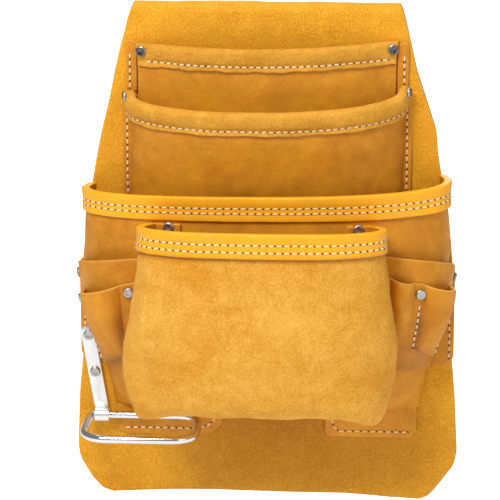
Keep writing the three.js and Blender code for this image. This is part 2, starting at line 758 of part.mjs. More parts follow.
/** All rivets on the hide. */
function buildRivets() {
  for (const side of sides) {
    const { name, sign } = side;
    rivetOnHem(`upper_rear_rivet_${name}`, upperRearFace, upperRear, rivetPlaces.upperRear, sign);
    rivetOnHem(`upper_nail_rivet_${name}`, upperNailFace, upperNail, rivetPlaces.upperNail, sign);
    rivetOnStrip(side);
    rivetOnSide(`tool_pocket_rivet_${name}`, toolFace(side), rivetPlaces.toolPocket, side);
  }
  const [left, right] = sides;
  rivetOnSide("pencil_rivet_left_inner", pencilFace(left), rivetPlaces.pencilLeftInner, left);
  rivetOnSide("pencil_rivet_left_outer", pencilFace(left), rivetPlaces.pencilLeftOuter, left);
  rivetOnSide("pencil_rivet_right_inner", pencilFace(right), rivetPlaces.pencilRightInner, right);
}

/** Depth of the ring's rear wire: it hangs in the plate's eye, clear of the main pouch's foot. */
const plateBack = seatGap + leather + seatGap;
const plateTopX = hammerPlate.topInset - panelHalfWidth;
const plateFootX = hammerPlate.footInset - panelHalfWidth;
const eyeInner = hammerRing.wire / 2 + seatGap;
const eyeOuter = eyeInner + hammerPlate.thick;
const ringRear = plateBack + eyeOuter;

/** The ring's middle line: level, with tight corners behind and wide ones in front. */
function ringPath() {
  const { inset, width, front, rearRadius, frontRadius } = hammerRing;
  const left = inset - panelHalfWidth;
  const right = left + width;
  const corners = [
    { x: right - frontRadius, depth: ringRear + frontRadius, radius: frontRadius, start: -1 },
    { x: right - frontRadius, depth: front - frontRadius, radius: frontRadius, start: 0 },
    { x: left + frontRadius, depth: front - frontRadius, radius: frontRadius, start: 1 },
    { x: left + rearRadius, depth: ringRear + rearRadius, radius: rearRadius, start: 2 },
  ];
  const points = [];
  for (const corner of corners) {
    for (let i = 0; i <= hammerRing.cornerSteps; i += 1) {
      const turn = (corner.start + i / hammerRing.cornerSteps) * quarterTurn;
      const across = corner.x + corner.radius * Math.cos(turn);
      const depth = corner.depth + corner.radius * Math.sin(turn);
      points.push(place(across, depth, hammerRing.drop));
    }
  }
  return new THREE.CatmullRomCurve3(points, true, "centripetal");
}

/** Where the middle of the slanting plate lies at a drop. */
function plateAcross(drop) {
  const t = (drop - hammerPlate.topDrop) / (hammerRing.drop - hammerPlate.topDrop);
  return plateTopX + (plateFootX - plateTopX) * t;
}

/** The plate's slanting strip. */
function plateStrip() {
  const half = hammerPlate.width / 2;
  const { topDrop, cornerRadius: r } = hammerPlate;
  const outline = new THREE.Shape();
  outline.moveTo(plateTopX - half, -topDrop - r);
  outline.quadraticCurveTo(plateTopX - half, -topDrop, plateTopX - half + r, -topDrop);
  outline.lineTo(plateTopX + half - r, -topDrop);
  outline.quadraticCurveTo(plateTopX + half, -topDrop, plateTopX + half, -topDrop - r);
  outline.lineTo(plateFootX + half, -hammerRing.drop);
  outline.lineTo(plateFootX - half, -hammerRing.drop);
  const strip = new THREE.ExtrudeGeometry(outline, {
    depth: hammerPlate.thick, bevelEnabled: false, curveSegments: 3,
  });
  strip.rotateX(quarterTurn);
  strip.translate(0, -plateBack, 0);
  return toSolid(strip);
}

/** The eye at the plate's foot, which holds the ring's rear wire. */
function plateEye() {
  const outline = new THREE.Shape();
  outline.absarc(0, 0, eyeOuter, 0, 4 * quarterTurn, false);
  const hole = new THREE.Path();
  hole.absarc(0, 0, eyeInner, 0, 4 * quarterTurn, true);
  outline.holes.push(hole);
  const eye = new THREE.ExtrudeGeometry(outline, {
    depth: hammerPlate.width, bevelEnabled: false, curveSegments: hammerPlate.eyeSides / 2,
  });
  eye.translate(0, 0, -hammerPlate.width / 2);
  eye.rotateY(quarterTurn);
  eye.translate(plateFootX, -ringRear, -hammerRing.drop);
  return toSolid(eye);
}

/** The hammer holder: a riveted plate and the ring that hangs in its eye. */
function buildHammerHolder() {
  const { wire, sides: ringSides, pathSteps } = hammerRing;
  const tube = new THREE.TubeGeometry(ringPath(), pathSteps, wire / 2, ringSides, true);
  addPiece("hammer_ring", toGeometry(toSolid(tube)), "chrome");
  addPiece("hammer_plate", toGeometry(plateStrip().add(plateEye())), "steel");
  const forward = new THREE.Vector3(0, -1, 0);
  const face = plateBack + hammerPlate.thick + seatGap;
  for (let i = 0; i < hammerPlate.rivetCount; i += 1) {
    const drop = hammerPlate.rivetDrop + hammerPlate.rivetStep * i;
    addRivet(`hammer_plate_rivet_${i + 1}`, place(plateAcross(drop), face, drop), forward);
  }
}

buildBackPanel();
buildUpperPockets();
buildMainPouch();
buildFrontPouch();
sides.forEach(buildSide);
buildRivets();
buildHammerHolder();

const apron = new THREE.Group();
hides.position.set(0, -(leather + beltGap / 2), leather + beltHeight / 2);
apron.add(hides);
apron.updateMatrixWorld(true);
export default apron;
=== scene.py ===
"""Looks of a ten-pocket golden hide nail and tool apron that hangs from a belt."""

import logging
import math
from dataclasses import dataclass, field
from enum import Enum
from typing import Callable, Sequence

import bmesh
import bpy
import numpy as np
from bmesh.types import BMesh, BMFace, BMVert
from bpy.types import Material, Node, NodeSocket, NodeTree, Object
from mathutils import Matrix, Vector, noise


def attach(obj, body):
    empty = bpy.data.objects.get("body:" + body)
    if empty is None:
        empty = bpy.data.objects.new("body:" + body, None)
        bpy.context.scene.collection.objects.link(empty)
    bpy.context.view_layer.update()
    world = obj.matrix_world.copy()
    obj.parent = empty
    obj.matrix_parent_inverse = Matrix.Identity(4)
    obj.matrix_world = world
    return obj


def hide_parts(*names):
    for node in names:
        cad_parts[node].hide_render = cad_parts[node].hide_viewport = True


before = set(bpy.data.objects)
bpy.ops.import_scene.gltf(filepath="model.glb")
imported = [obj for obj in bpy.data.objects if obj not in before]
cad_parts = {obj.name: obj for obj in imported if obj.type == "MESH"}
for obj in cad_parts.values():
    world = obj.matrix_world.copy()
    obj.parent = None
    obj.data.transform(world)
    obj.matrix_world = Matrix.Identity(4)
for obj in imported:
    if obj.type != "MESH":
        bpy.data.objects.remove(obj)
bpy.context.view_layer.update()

LOG = logging.getLogger("apron")
Array = np.ndarray
Colour = tuple[float, float, float]
Place = tuple[float, float, float]
Line = tuple[tuple[float, float], ...]

MM = 0.001
LEATHER = 2.2  # thickness of every hide, in millimetres as all lengths below
SEAT_GAP = 0.3
CURVE_GAP = 0.6
CUT_ROUND = 0.35  # how far the rims of a cut edge are rounded
STRIP_ROUND = 0.5  # the same on a flat strip of hide
THREAD_LIFT = 0.15  # from a hide's outer side to the middle of its stitches
PANEL_PLACE = 5.7  # from the origin forward to the panel's front face
TOP_EDGE = 41.2  # from the origin up to the top edge
PANEL_HEIGHT = 327.5
PANEL_HALF = 124.0
QUARTER = math.pi / 2
SLOPE_STEP = 1e-3
SEARCH_STEPS = 24  # halvings, when a level is looked for
FIT_STEPS = 12  # rounds, when a place on a curved outer skin is looked for
BELL_POWER = 1.35  # plan of the flat upper pocket


def to_world(points: Array) -> Array:
    """Turns hide places into row-frame places.

    Args:
        points: Rows of across, depth and drop in millimetres.

    Returns:
        Rows of x, y and z in metres.
    """
    columns = [points[:, 0], -(PANEL_PLACE + points[:, 1]), TOP_EDGE - points[:, 2]]
    return np.column_stack(columns) * MM


def unit(rows: Array) -> Array:
    """Rows scaled to length one."""
    return rows / np.maximum(np.linalg.norm(rows, axis=1), 1e-12)[:, None]


def ease(share: Array) -> Array:
    """A soft step from 0 to 1."""
    held = np.clip(share, 0.0, 1.0)
    return held * held * (3 - 2 * held)


def lengths_along(path: Array) -> Array:
    """Lengths from a path's start to each of its points."""
    steps = np.linalg.norm(np.diff(path, axis=0), axis=1)
    return np.concatenate([[0.0], np.cumsum(steps)])


@dataclass(frozen=True)
class RowTable:
    """Shares at a piece's rows, read between them by curves that never overshoot."""

    columns: dict[str, tuple[float, ...]]

    def read(self, name: str, level: Array) -> Array:
        """Reads a column.

        Args:
            name: The column.
            level: Row numbers, with parts of a row.

        Returns:
            The column's value at each level.
        """
        values = np.array(self.columns[name])
        steps = np.diff(values)
        product = steps[:-1] * steps[1:]
        total = np.where(product > 0, steps[:-1] + steps[1:], 1.0)
        slopes = np.zeros(len(values))
        slopes[1:-1] = np.where(product > 0, 2 * product / total, 0.0)
        index = np.clip(np.floor(level).astype(int), 0, len(values) - 2)
        t = level - index
        square, cube = t * t, t * t * t
        start, end = values[index], values[index + 1]
        lead, trail = slopes[index], slopes[index + 1]
        return (
            start * (2 * cube - 3 * square + 1)
            + lead * (cube - 2 * square + t)
            + end * (3 * square - 2 * cube)
            + trail * (cube - square)
        )


class Face:
    """A curved face that a hide lies on, read by a share across and a level down."""

    low: float = -1.0
    limit: float = 1.0

    def at(self, share: Array, level: Array) -> Array:
        """Places on the face, as across, depth and drop."""
        raise NotImplementedError

    def normal(self, share: Array, level: Array) -> Array:
        """Outward directions of the face."""
        left = self.at(np.maximum(share - SLOPE_STEP, self.low), level)
        right = self.at(np.minimum(share + SLOPE_STEP, 1.0), level)
        above = self.at(share, np.maximum(level - SLOPE_STEP, 0.0))
        below = self.at(share, np.minimum(level + SLOPE_STEP, self.limit))
        return unit(np.cross(below - above, right - left))

    def stand(self, share: Array, level: Array, height: Array | float) -> Array:
        """Places that stand off the face by a height."""
        lift = np.broadcast_to(np.asarray(height, float), share.shape)
        return self.at(share, level) + self.normal(share, level) * lift[:, None]


def round_plan(share: Array, corner: Array) -> tuple[Array, Array]:
    """Plan of a pouch that leaves the panel squarely: across and forward."""
    turn = share * QUARTER
    across = np.sign(turn) * np.abs(np.sin(turn)) ** (2 / corner)
    return across, np.maximum(np.cos(turn), 0.0) ** (2 / corner)


class HemmedFace(Face):
    """A face in numbered rows, with a folded hem or band down to its second row."""

    height: float
    rows: RowTable

    def __post_init__(self) -> None:
        """Keeps the number of the last row."""
        self.limit = float(len(self.rows.columns["drop"]) - 1)

    @property
    def hem(self) -> float:
        """Height of the hem, from the rim to its raw edge."""
        return self.height * self.rows.columns["drop"][1]


@dataclass
class PouchFace(HemmedFace):
    """The inner face of a pouch that is sewn to the back panel."""

    rim_drop: float
    height: float
    half_width: float
    depth: float
    sag: float
    tilt: float
    tuck: float
    rows: RowTable
    bell: bool = False

    def at(self, share: Array, level: Array) -> Array:
        """Places on the face, as across, depth and drop."""
        if self.bell:
            across, forward = share, (1 - share * share) ** BELL_POWER
        else:
            across, forward = round_plan(share, self.rows.read("corner", level))
        pull = self.tuck * self.rows.read("tuck", level) * (1 - forward) ** 3
        slack = self.sag * (1 - share * share) - self.tilt * share
        half = (self.half_width - LEATHER) * self.rows.read("width", level)
        reach = (self.depth - LEATHER - SEAT_GAP) * self.rows.read("reach", level)
        drop = self.rim_drop + self.height * self.rows.read("drop", level)
        return np.column_stack([
            half * across - pull * np.sign(share),
            SEAT_GAP + reach * forward,
            drop + slack * self.rows.read("slack", level),
        ])


@dataclass
class MainFace(PouchFace):
    """The main pouch's face, which the front and side pieces lie on."""

    bottom_level: float = 8.0

    def level_at(self, drop: Array) -> Array:
        """Levels at drops, away from the rim's own sag."""
        wanted = (drop - self.rim_drop) / self.height
        low, high = np.zeros_like(wanted), np.full_like(wanted, self.bottom_level)
        for _ in range(SEARCH_STEPS):
            middle = (low + high) / 2
            below = self.rows.read("drop", middle) < wanted
            low = np.where(below, middle, low)
            high = np.where(below, high, middle)
        return (low + high) / 2

    def share_at(self, across: Array, level: Array) -> Array:
        """Shares at which the face lies a given distance across."""
        half = (self.half_width - LEATHER) * self.rows.read("width", level)
        corner = self.rows.read("corner", level)
        reach = np.minimum(np.abs(across) / half, 1.0) ** (corner / 2)
        return np.sign(across) * np.arcsin(reach) / QUARTER

    def front_depth(self, across: Array, drop: Array) -> Array:
        """Depths of the pouch's outer skin at places across and drops."""
        aim_across, aim_drop = across.copy(), drop.copy()
        skin = None
        for _ in range(FIT_STEPS):
            level = self.level_at(aim_drop)
            skin = self.stand(self.share_at(aim_across, level), level, LEATHER)
            aim_across = aim_across + across - skin[:, 0]
            aim_drop = aim_drop + drop - skin[:, 2]
        return skin[:, 1]


@dataclass
class FrontFace(HemmedFace):
    """The front pouch's inner face, with the sewn strips that turn inwards."""

    main: MainFace
    rim_drop: float
    height: float
    half_width: float
    depth: float
    sag: float
    rows: RowTable
    seam_half: float = 67.0
    flange: float = 15.0
    flange_share: float = 0.14
    side_drop: float = 8.5
    corner_drop: float = 7.5
    left_corner: float = 6.5

    def at(self, share: Array, level: Array) -> Array:
        """Places on the face, as across, depth and drop."""
        side = np.where(share < 0, -1.0, 1.0)
        whole = 1 - self.flange_share
        along = np.minimum(np.abs(share) / whole, 1.0)
        inward = np.maximum(np.abs(share) - whole, 0.0) / self.flange_share
        plan_across, forward = round_plan(side * along, self.rows.read("corner", level))
        half = (self.half_width - LEATHER) * self.rows.read("width", level)
        tuck = (half - self.seam_half) * (1 - forward) ** 2
        across = half * plan_across - side * (tuck + self.flange * inward)
        fall = self.side_drop * (1 - forward) + self.sag * (1 - share * share)
        drop = self.rim_drop + self.height * self.rows.read("drop", level)
        drop = drop + fall * self.rows.read("slack", level)
        point = self.rows.read("point", level) * np.sin(math.pi * along) ** 2
        across = across - self.left_corner * point * (side < 0)
        closing = ease(level - self.limit + 1) * (1 - ease((along - 0.8) / 0.15))
        base = self.main.front_depth(across, drop) + CURVE_GAP + LEATHER * (1 - closing)
        reach = (self.depth - 2 * LEATHER) * self.rows.read("reach", level) * forward
        return np.column_stack([across, base + reach, drop + self.corner_drop * point])


class Side(Enum):
    """The left and right sides, as seen from the front."""

    LEFT = -1
    RIGHT = 1


@dataclass
class ToolFace(Face):
    """A tool pocket's inner face on one side of the main pouch."""

    main: MainFace
    side: Side
    rim_inner: float
    rim_outer: float
    inner_edge: float = 71.7
    bulge: float = 8.0
    bottom_drop: float = 235.5
    bottom_rise: float = 8.0
    low: float = 0.0
    rows: RowTable = field(
        default_factory=lambda: RowTable({"bulge": (1.0, 0.94, 0.72, 0.42, 0.0)})
    )

    def outward(self, share: Array) -> Array:
        """Shares from the inner edge to the outer one."""
        held = share if self.side is Side.RIGHT else 1 - share
        return np.clip(held, 0.0, 1.0)

    def ends(self, outward: Array) -> tuple[Array, Array]:
        """Drops of the rim and of the bottom."""
        rim = self.rim_inner + (self.rim_outer - self.rim_inner) * outward**1.5
        return rim, self.bottom_drop - self.bottom_rise * (1 - outward)

    def at(self, share: Array, level: Array) -> Array:
        """Places on the face, as across, depth and drop."""
        outward = self.outward(share)
        rim, bottom = self.ends(outward)
        main_level = self.main.level_at(rim + (bottom - rim) * level)
        edge = np.full_like(share, self.inner_edge)
        inner = self.main.share_at(edge, main_level)
        main_share = self.side.value * (inner + (1 - inner) * outward)
        swell = self.bulge * np.maximum(np.sin(math.pi * outward**0.6), 0.0) ** 1.3
        lift = swell * self.rows.read("bulge", level * 4)
        return self.main.stand(main_share, main_level, LEATHER + CURVE_GAP + lift)


@dataclass(frozen=True)
class Loop:
    """A loop of a pencil pocket, between two places across its tool pocket."""

    start: float
    end: float
    height: float

    def rise(self, where: Array) -> Array:
        """How far the loop stands off."""
        t = np.clip((where - self.start) / (self.end - self.start), 0.0, 1.0)
        return self.height * np.sin(math.pi * t) ** 0.8


@dataclass
class PencilFace(Face):
    """A pencil pocket's inner face on its tool pocket."""

    tool: ToolFace
    outer: float
    top: tuple[float, float]
    bottom: tuple[float, float]
    loops: tuple[Loop, ...]
    inner: float = 0.05
    low: float = 0.0

    def at(self, share: Array, level: Array) -> Array:
        """Places on the face, as across, depth and drop."""
        outward = self.tool.outward(share)
        where = self.inner + (self.outer - self.inner) * outward
        top = self.top[0] + (self.top[1] - self.top[0]) * outward
        bottom = self.bottom[0] + (self.bottom[1] - self.bottom[0]) * outward
        on_tool = where if self.tool.side is Side.RIGHT else 1 - where
        rim, foot = self.tool.ends(where)
        tool_level = (top + (bottom - top) * level - rim) / (foot - rim)
        rise = sum(loop.rise(where) for loop in self.loops)
        lift = LEATHER + CURVE_GAP + rise * (1 - level**2.2)
        return self.tool.stand(on_tool, tool_level, lift)


@dataclass
class FlatFace(Face):
    """A flat face parallel to the panel, read by across and drop in millimetres."""

    depth: float
    facing: float = 1.0

    def at(self, share: Array, level: Array) -> Array:
        """Places on the face, as across, depth and drop."""
        return np.column_stack([share, np.full_like(share, self.depth), level])

    def normal(self, share: Array, level: Array) -> Array:
        """The way the face looks, forward or rearward."""
        return np.tile([0.0, self.facing, 0.0], (len(share), 1))


STRIP_FRONT = FlatFace(SEAT_GAP + LEATHER)  # the front of hide that is sewn flat to the panel


@dataclass
class PanelFace(Face):
    """The back panel's rear face, from the tunnel's seam over the fold and down the front."""

    belt_height: float = 78.0
    belt_gap: float = 7.0
    taper: float = 12.0
    seam: float = 12.0
    corner_down: float = 0.967
    curl: float = 5.0
    free_from: float = 286.0
    free_span: float = 42.0
    outline: RowTable = field(default_factory=lambda: RowTable({
        "down": (0, 0.002, 0.005, 0.0147, 0.03, 0.049, 0.084, 0.127, 0.185, 0.243, 0.29, 0.405,
                 0.536, 0.696, 0.777, 0.899, 0.929, 0.967),
        "left": (0.635, 0.656, 0.674, 0.691, 0.706, 0.718, 0.745, 0.773, 0.806, 0.845, 0.872,
                 0.927, 0.966, 0.962, 0.985, 1.0, 0.989, 0.93),
        "right": (0.645, 0.661, 0.672, 0.6855, 0.699, 0.711, 0.733, 0.76, 0.812, 0.864, 0.876,
                  0.934, 0.966, 0.962, 0.982, 1.0, 0.985, 0.91),
    }))
    bottom: RowTable = field(default_factory=lambda: RowTable({
        "left_across": (0.0, 0.25, 0.62, 0.82, 0.88, 0.93),
        "left_down": (0.989, 0.992, 0.999, 1.0, 0.991, 0.967),
        "right_across": (0.0, 0.41, 0.65, 0.81, 0.86, 0.91),
        "right_down": (0.989, 0.992, 0.999, 1.0, 0.991, 0.967),
    }))

    def __post_init__(self) -> None:
        """Lays out the side view as a chain of points with their lengths."""
        radius = self.belt_gap / 2
        flap = -LEATHER - self.belt_gap
        top = LEATHER + radius
        seam_depth = -LEATHER - SEAT_GAP
        straight = LEATHER + self.belt_height
        chain = [(seam_depth, straight + self.taper + self.seam)]
        for t in np.linspace(1, 0, 13):
            soft = t * t * (3 - 2 * t)
            chain.append((flap + (seam_depth - flap) * soft, straight + self.taper * t))
        self.fold_start = len(chain) - 1
        for turn in np.linspace(math.pi, 0, 17):
            chain.append((-top + radius * math.cos(turn), top - radius * math.sin(turn)))
        self.fold_end = len(chain) - 1
        chain.append((-LEATHER, PANEL_HEIGHT))
        self.chain = np.array(chain)
        self.lengths = lengths_along(self.chain)
        self.limit = float(self.lengths[-1])

    def half(self, down: Array, side: Array) -> Array:
        """Half-widths at shares of the height, to the left and right."""
        rows = self.outline.columns
        left = np.interp(down, rows["down"], rows["left"])
        right = np.interp(down, rows["down"], rows["right"])
        return np.where(side < 0, left, right) * PANEL_HALF

    def fall(self, reach: Array, side: str) -> Array:
        """How far down the bottom edge lies on one side, as shares of the height."""
        across = self.bottom.columns[f"{side}_across"]
        return np.interp(reach * across[-1], across, self.bottom.columns[f"{side}_down"])

    def at(self, share: Array, level: Array) -> Array:
        """Places on the face, as across, depth and drop."""
        depth = np.interp(level, self.lengths, self.chain[:, 0])
        drop = np.interp(level, self.lengths, self.chain[:, 1])
        down = drop / PANEL_HEIGHT
        reach = np.abs(share)
        edge = np.where(share < 0, self.fall(reach, "left"), self.fall(reach, "right"))
        across = share * self.half(down * self.corner_down, share)
        drop = drop * (1 + (edge - 1) * ease(down))
        free = ease((drop - self.free_from) / self.free_span)
        wave = np.sin(share * 2.6 + 0.6) * 0.6 + 0.4 * np.cos(share * 5.2)
        depth = depth + self.curl * free * (wave + 0.9 * reach**3)
        return np.column_stack([across, depth, drop])


@dataclass(frozen=True)
class Station:
    """One point of a wall's cross-section."""

    level: float
    height: float
    raw: float = 0.0
    # inside darkens the colour: painted shade on a pocket's inner side and in a thin line under a
    # hem's raw edge, and a little on the panel's rear face.
    inside: float = 0.0
    band: float = 0.0


@dataclass(frozen=True)
class Dent:
    """A soft dent or swelling of a hide, round a place on its face."""

    share: float
    level: float
    wide: float
    tall: float
    lift: float
    lean: float = 0.0
    # The last field paints shade: how much the dent darkens the hide's colour where shade falls.
    painted_shade: float = 0.0

    def at(self, share: Array, level: Array) -> Array:
        """How strongly the dent shows at places on its face."""
        across = share - self.share - self.lean * (level - self.level)
        return np.exp(-((across / self.wide) ** 2) - ((level - self.level) / self.tall) ** 2)


@dataclass(frozen=True)
class Relief:
    """Slow waves and dents that make a hide hang like one."""

    wave: float = 0.35
    scale: float = 22.0
    dents: tuple[Dent, ...] = ()
    seed: float = 0.0

    def at(self, share: Array, level: Array, places: Array) -> Array:
        """Heights that the relief adds at places on a face."""
        shift = Vector((self.seed, self.seed * 0.7, -self.seed))
        total = np.array([
            noise.fractal(Vector(place) / self.scale + shift, 0.6, 2.1, 3) for place in places
        ]) * self.wave
        for dent in self.dents:
            total = total + dent.lift * dent.at(share, level)
        return total

    def painted_shade(self, share: Array, level: Array) -> Array:
        """How much the dents' painted shade darkens the hide."""
        total = np.zeros(len(share))
        for dent in self.dents:
            total = total + dent.painted_shade * dent.at(share, level)
        return np.clip(total, 0.0, 1.0)


@dataclass
class Wall:
    """A closed wall of hide on a face: a grid wrapped round a cross-section.

    The stations run from the inner bottom over the rim and back. The function settle keeps
    places clear of what lies behind, and fray is how far the hem's raw edge wavers, in levels,
    by waves that are given as size, rate and shift.
    """

    face: Face
    columns: int
    stations: Sequence[Station]
    relief: Relief
    settle: Callable[[Array], Array]
    fray: float = 0.0
    end_step: float = 0.7
    end_thinning: float = 0.6
    waves: tuple[Place, ...] = ((1.0, 19.0, 0.0), (0.6, 43.0, 1.7), (0.25, 97.0, 0.0))

    def shares(self) -> Array:
        """Shares that divide the rim into equal lengths, with a fine step at each end."""
        fine = np.linspace(self.face.low, 1.0, 600)
        length = lengths_along(self.face.at(fine, np.zeros_like(fine)))
        last, step = length[-1], self.end_step
        marks = np.linspace(0, last, self.columns - 1)
        marks = np.concatenate([[0.0, step], marks[1:-1], [last - step, last]])
        return np.interp(marks, length, fine)

    def build(self) -> BMesh:
        """Makes the wall's mesh with its masks.

        Returns:
            A closed mesh whose material index is 1 on the band.
        """
        shares = self.shares()
        table = np.array([[s.level, s.height, s.raw, s.inside, s.band] for s in self.stations])
        bm = bmesh.new()
        bmesh.ops.create_grid(
            bm, x_segments=len(shares) - 1, y_segments=len(table) - 1, size=1.0
        )
        grid = np.array([v.co[:2] for v in bm.verts])
        column = (grid[:, 0] + 1) / 2 * (len(shares) - 1)
        row = (grid[:, 1] + 1) / 2 * (len(table) - 1)
        share = np.interp(column, np.arange(len(shares)), shares)
        level, height, raw, inside, band = (
            np.interp(row, np.arange(len(table)), table[:, k]) for k in range(5)
        )
        waver = sum(size * np.sin(rate * share + shift) for size, rate, shift in self.waves)
        near_edge = ease((level - 0.85) / 0.12) * ease((1.2 - level) / 0.15)
        level = level + self.fray * waver * near_edge * ease(height - 1.0)
        end = (column < 0.5) | (column > len(shares) - 1.5)
        middle = LEATHER / 2
        height = np.where(end, middle + (height - middle) * self.end_thinning, height)
        raw = np.where(end, 1.0, raw)
        places = self.face.at(share, level)
        lift = self.relief.at(share, level, places)
        places = self.settle(self.face.stand(share, level, height + lift))
        # The dents' painted shade goes to the colour as a mask.
        painted_shade = self.relief.painted_shade(share, level)
        self.lay(bm, to_world(places), {"raw": raw, "inside": inside, "painted_shade": painted_shade})
        for face in bm.faces:
            face.material_index = int(np.mean([band[v.index] for v in face.verts]) > 0.5)
        bmesh.ops.remove_doubles(bm, verts=bm.verts, dist=2e-7)
        edges = [e for e in bm.edges if e.is_boundary]
        caps = bmesh.ops.holes_fill(bm, edges=edges, sides=0)["faces"]
        bmesh.ops.triangulate(bm, faces=caps)
        bmesh.ops.recalc_face_normals(bm, faces=bm.faces)
        return bm

    @staticmethod
    def lay(bm: BMesh, places: Array, masks: dict[str, Array]) -> None:
        """Moves a grid's vertices to their places and writes their masks."""
        bm.verts.index_update()
        layers = {name: bm.verts.layers.float.new(name) for name in masks}
        for vertex, place in zip(bm.verts, places):
            vertex.co = place
            for name, layer in layers.items():
                vertex[layer] = masks[name][vertex.index]


def close_shell(bm: BMesh) -> None:
    """Merges a turned shell's doubles and points its faces outwards."""
    bmesh.ops.remove_doubles(bm, verts=bm.verts, dist=1e-6)
    bmesh.ops.recalc_face_normals(bm, faces=bm.faces)


def plate_mesh(outline: Sequence[tuple[float, float]], depth: float, thick: float = LEATHER,
               soften: float = STRIP_ROUND) -> BMesh:
    """A flat plate with softened edges.

    Args:
        outline: Corners as across and drop, in order.
        depth: Depth of its rear face.
        thick: Its thickness.
        soften: Width of the softened edge.

    Returns:
        The closed mesh.
    """
    bm = bmesh.new()
    flat = np.array([[across, depth, drop] for across, drop in outline], float)
    corners = [bm.verts.new(place) for place in to_world(flat)]
    face = bm.faces.new(corners)
    grown = bmesh.ops.extrude_face_region(bm, geom=[face])["geom"]
    moved = [g for g in grown if isinstance(g, BMVert)]
    bmesh.ops.translate(bm, verts=moved, vec=(0, -thick * MM, 0))
    bmesh.ops.recalc_face_normals(bm, faces=bm.faces)
    rims = [e for e in bm.edges if e.is_manifold and e.calc_face_angle() > 1.2]
    bmesh.ops.bevel(
        bm, geom=rims, offset=soften * MM, affect="EDGES", segments=2, profile=0.5, material=-1
    )
    layer = bm.verts.layers.float.new("raw")
    front = -(PANEL_PLACE + depth + thick) * MM
    for vertex in bm.verts:
        vertex[layer] = float(vertex.co.y > front + 0.2 * soften * MM)
    bm.verts.layers.float.new("inside")
    bmesh.ops.triangulate(bm, faces=[f for f in bm.faces if len(f.verts) > 4])
    return bm


def round_corner(corner: tuple[float, float], radius: float, start: float,
                 steps: int = 8) -> list[tuple[float, float]]:
    """Points of a quarter round inside a corner, from a start turn in degrees."""
    centre = (
        corner[0] - radius * math.copysign(1, math.cos(math.radians(start + 45))),
        corner[1] - radius * math.copysign(1, math.sin(math.radians(start + 45))),
    )
    turns = [math.radians(start + 90 * i / steps) for i in range(steps + 1)]
    return [(centre[0] + radius * math.cos(t), centre[1] + radius * math.sin(t)) for t in turns]


def show(name: str, data: bpy.types.ID) -> Object:
    """Puts a mesh, a lamp or a camera in the scene."""
    piece = bpy.data.objects.new(name, data)
    bpy.context.scene.collection.objects.link(piece)
    return piece


def make_object(bm: BMesh, name: str, materials: Sequence[Material],
                sharp: float = 50.0) -> Object:
    """Turns a mesh into a shown piece at the origin.

    Args:
        bm: The mesh, in the row frame, which is freed.
        name: The piece's name.
        materials: Its materials, by index.
        sharp: Angle in degrees over which an edge stays sharp.

    Returns:
        The object.
    """
    mesh = bpy.data.meshes.new(name)
    bm.to_mesh(mesh)
    bm.free()
    mesh.shade_smooth()
    mesh.set_sharp_from_angle(angle=math.radians(sharp))
    for material in materials:
        mesh.materials.append(material)
    return show(name, mesh)


def join_meshes(parts: Sequence[BMesh]) -> BMesh:
    """One mesh from several, which are freed."""
    whole = bmesh.new()
    for part in parts:
        scratch = bpy.data.meshes.new("scratch")
        part.to_mesh(scratch)
        part.free()
        whole.from_mesh(scratch)
        bpy.data.meshes.remove(scratch)
    return whole


def dress(piece: Object, slot: str, *nodes: str) -> Object:
    """Ties a piece to the body and hides the CAD nodes that it stands for."""
    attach(piece, "root")
    if nodes:
        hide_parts(*nodes)
    LOG.info("%s: %d faces", piece.name, len(piece.data.polygons))
    return piece


@dataclass(frozen=True)
class SeamLine:
    """A row of stitches along a line on a face."""

    face: Face
    line: Line
    height: float
    pitch: float = 4.7
    slant: float = 7.0
    relief: Relief = Relief(0.0)

    def frames(self) -> tuple[Array, Array, Array]:
        """Middles, directions and outward directions of the stitches."""
        knots = np.array(self.line, float)
        marks = np.linspace(0, len(knots) - 1, 80 * (len(knots) - 1))
        share, level = (np.interp(marks, np.arange(len(knots)), knots[:, k]) for k in range(2))
        height = self.height + self.relief.at(share, level, self.face.at(share, level))
        path = self.face.stand(share, level, height)
        outward = self.face.normal(share, level)
        length = lengths_along(path)
        count = max(int(length[-1] / self.pitch), 1)
        middles = (np.arange(count) + 0.5) * length[-1] / count

        def read(rows: Array, where: Array) -> Array:
            """Rows at lengths along the line."""
            return np.column_stack([np.interp(where, length, rows[:, k]) for k in range(3)])

        along = unit(read(path, middles + 0.3) - read(path, middles - 0.3))
        return read(path, middles), along, unit(read(outward, middles))


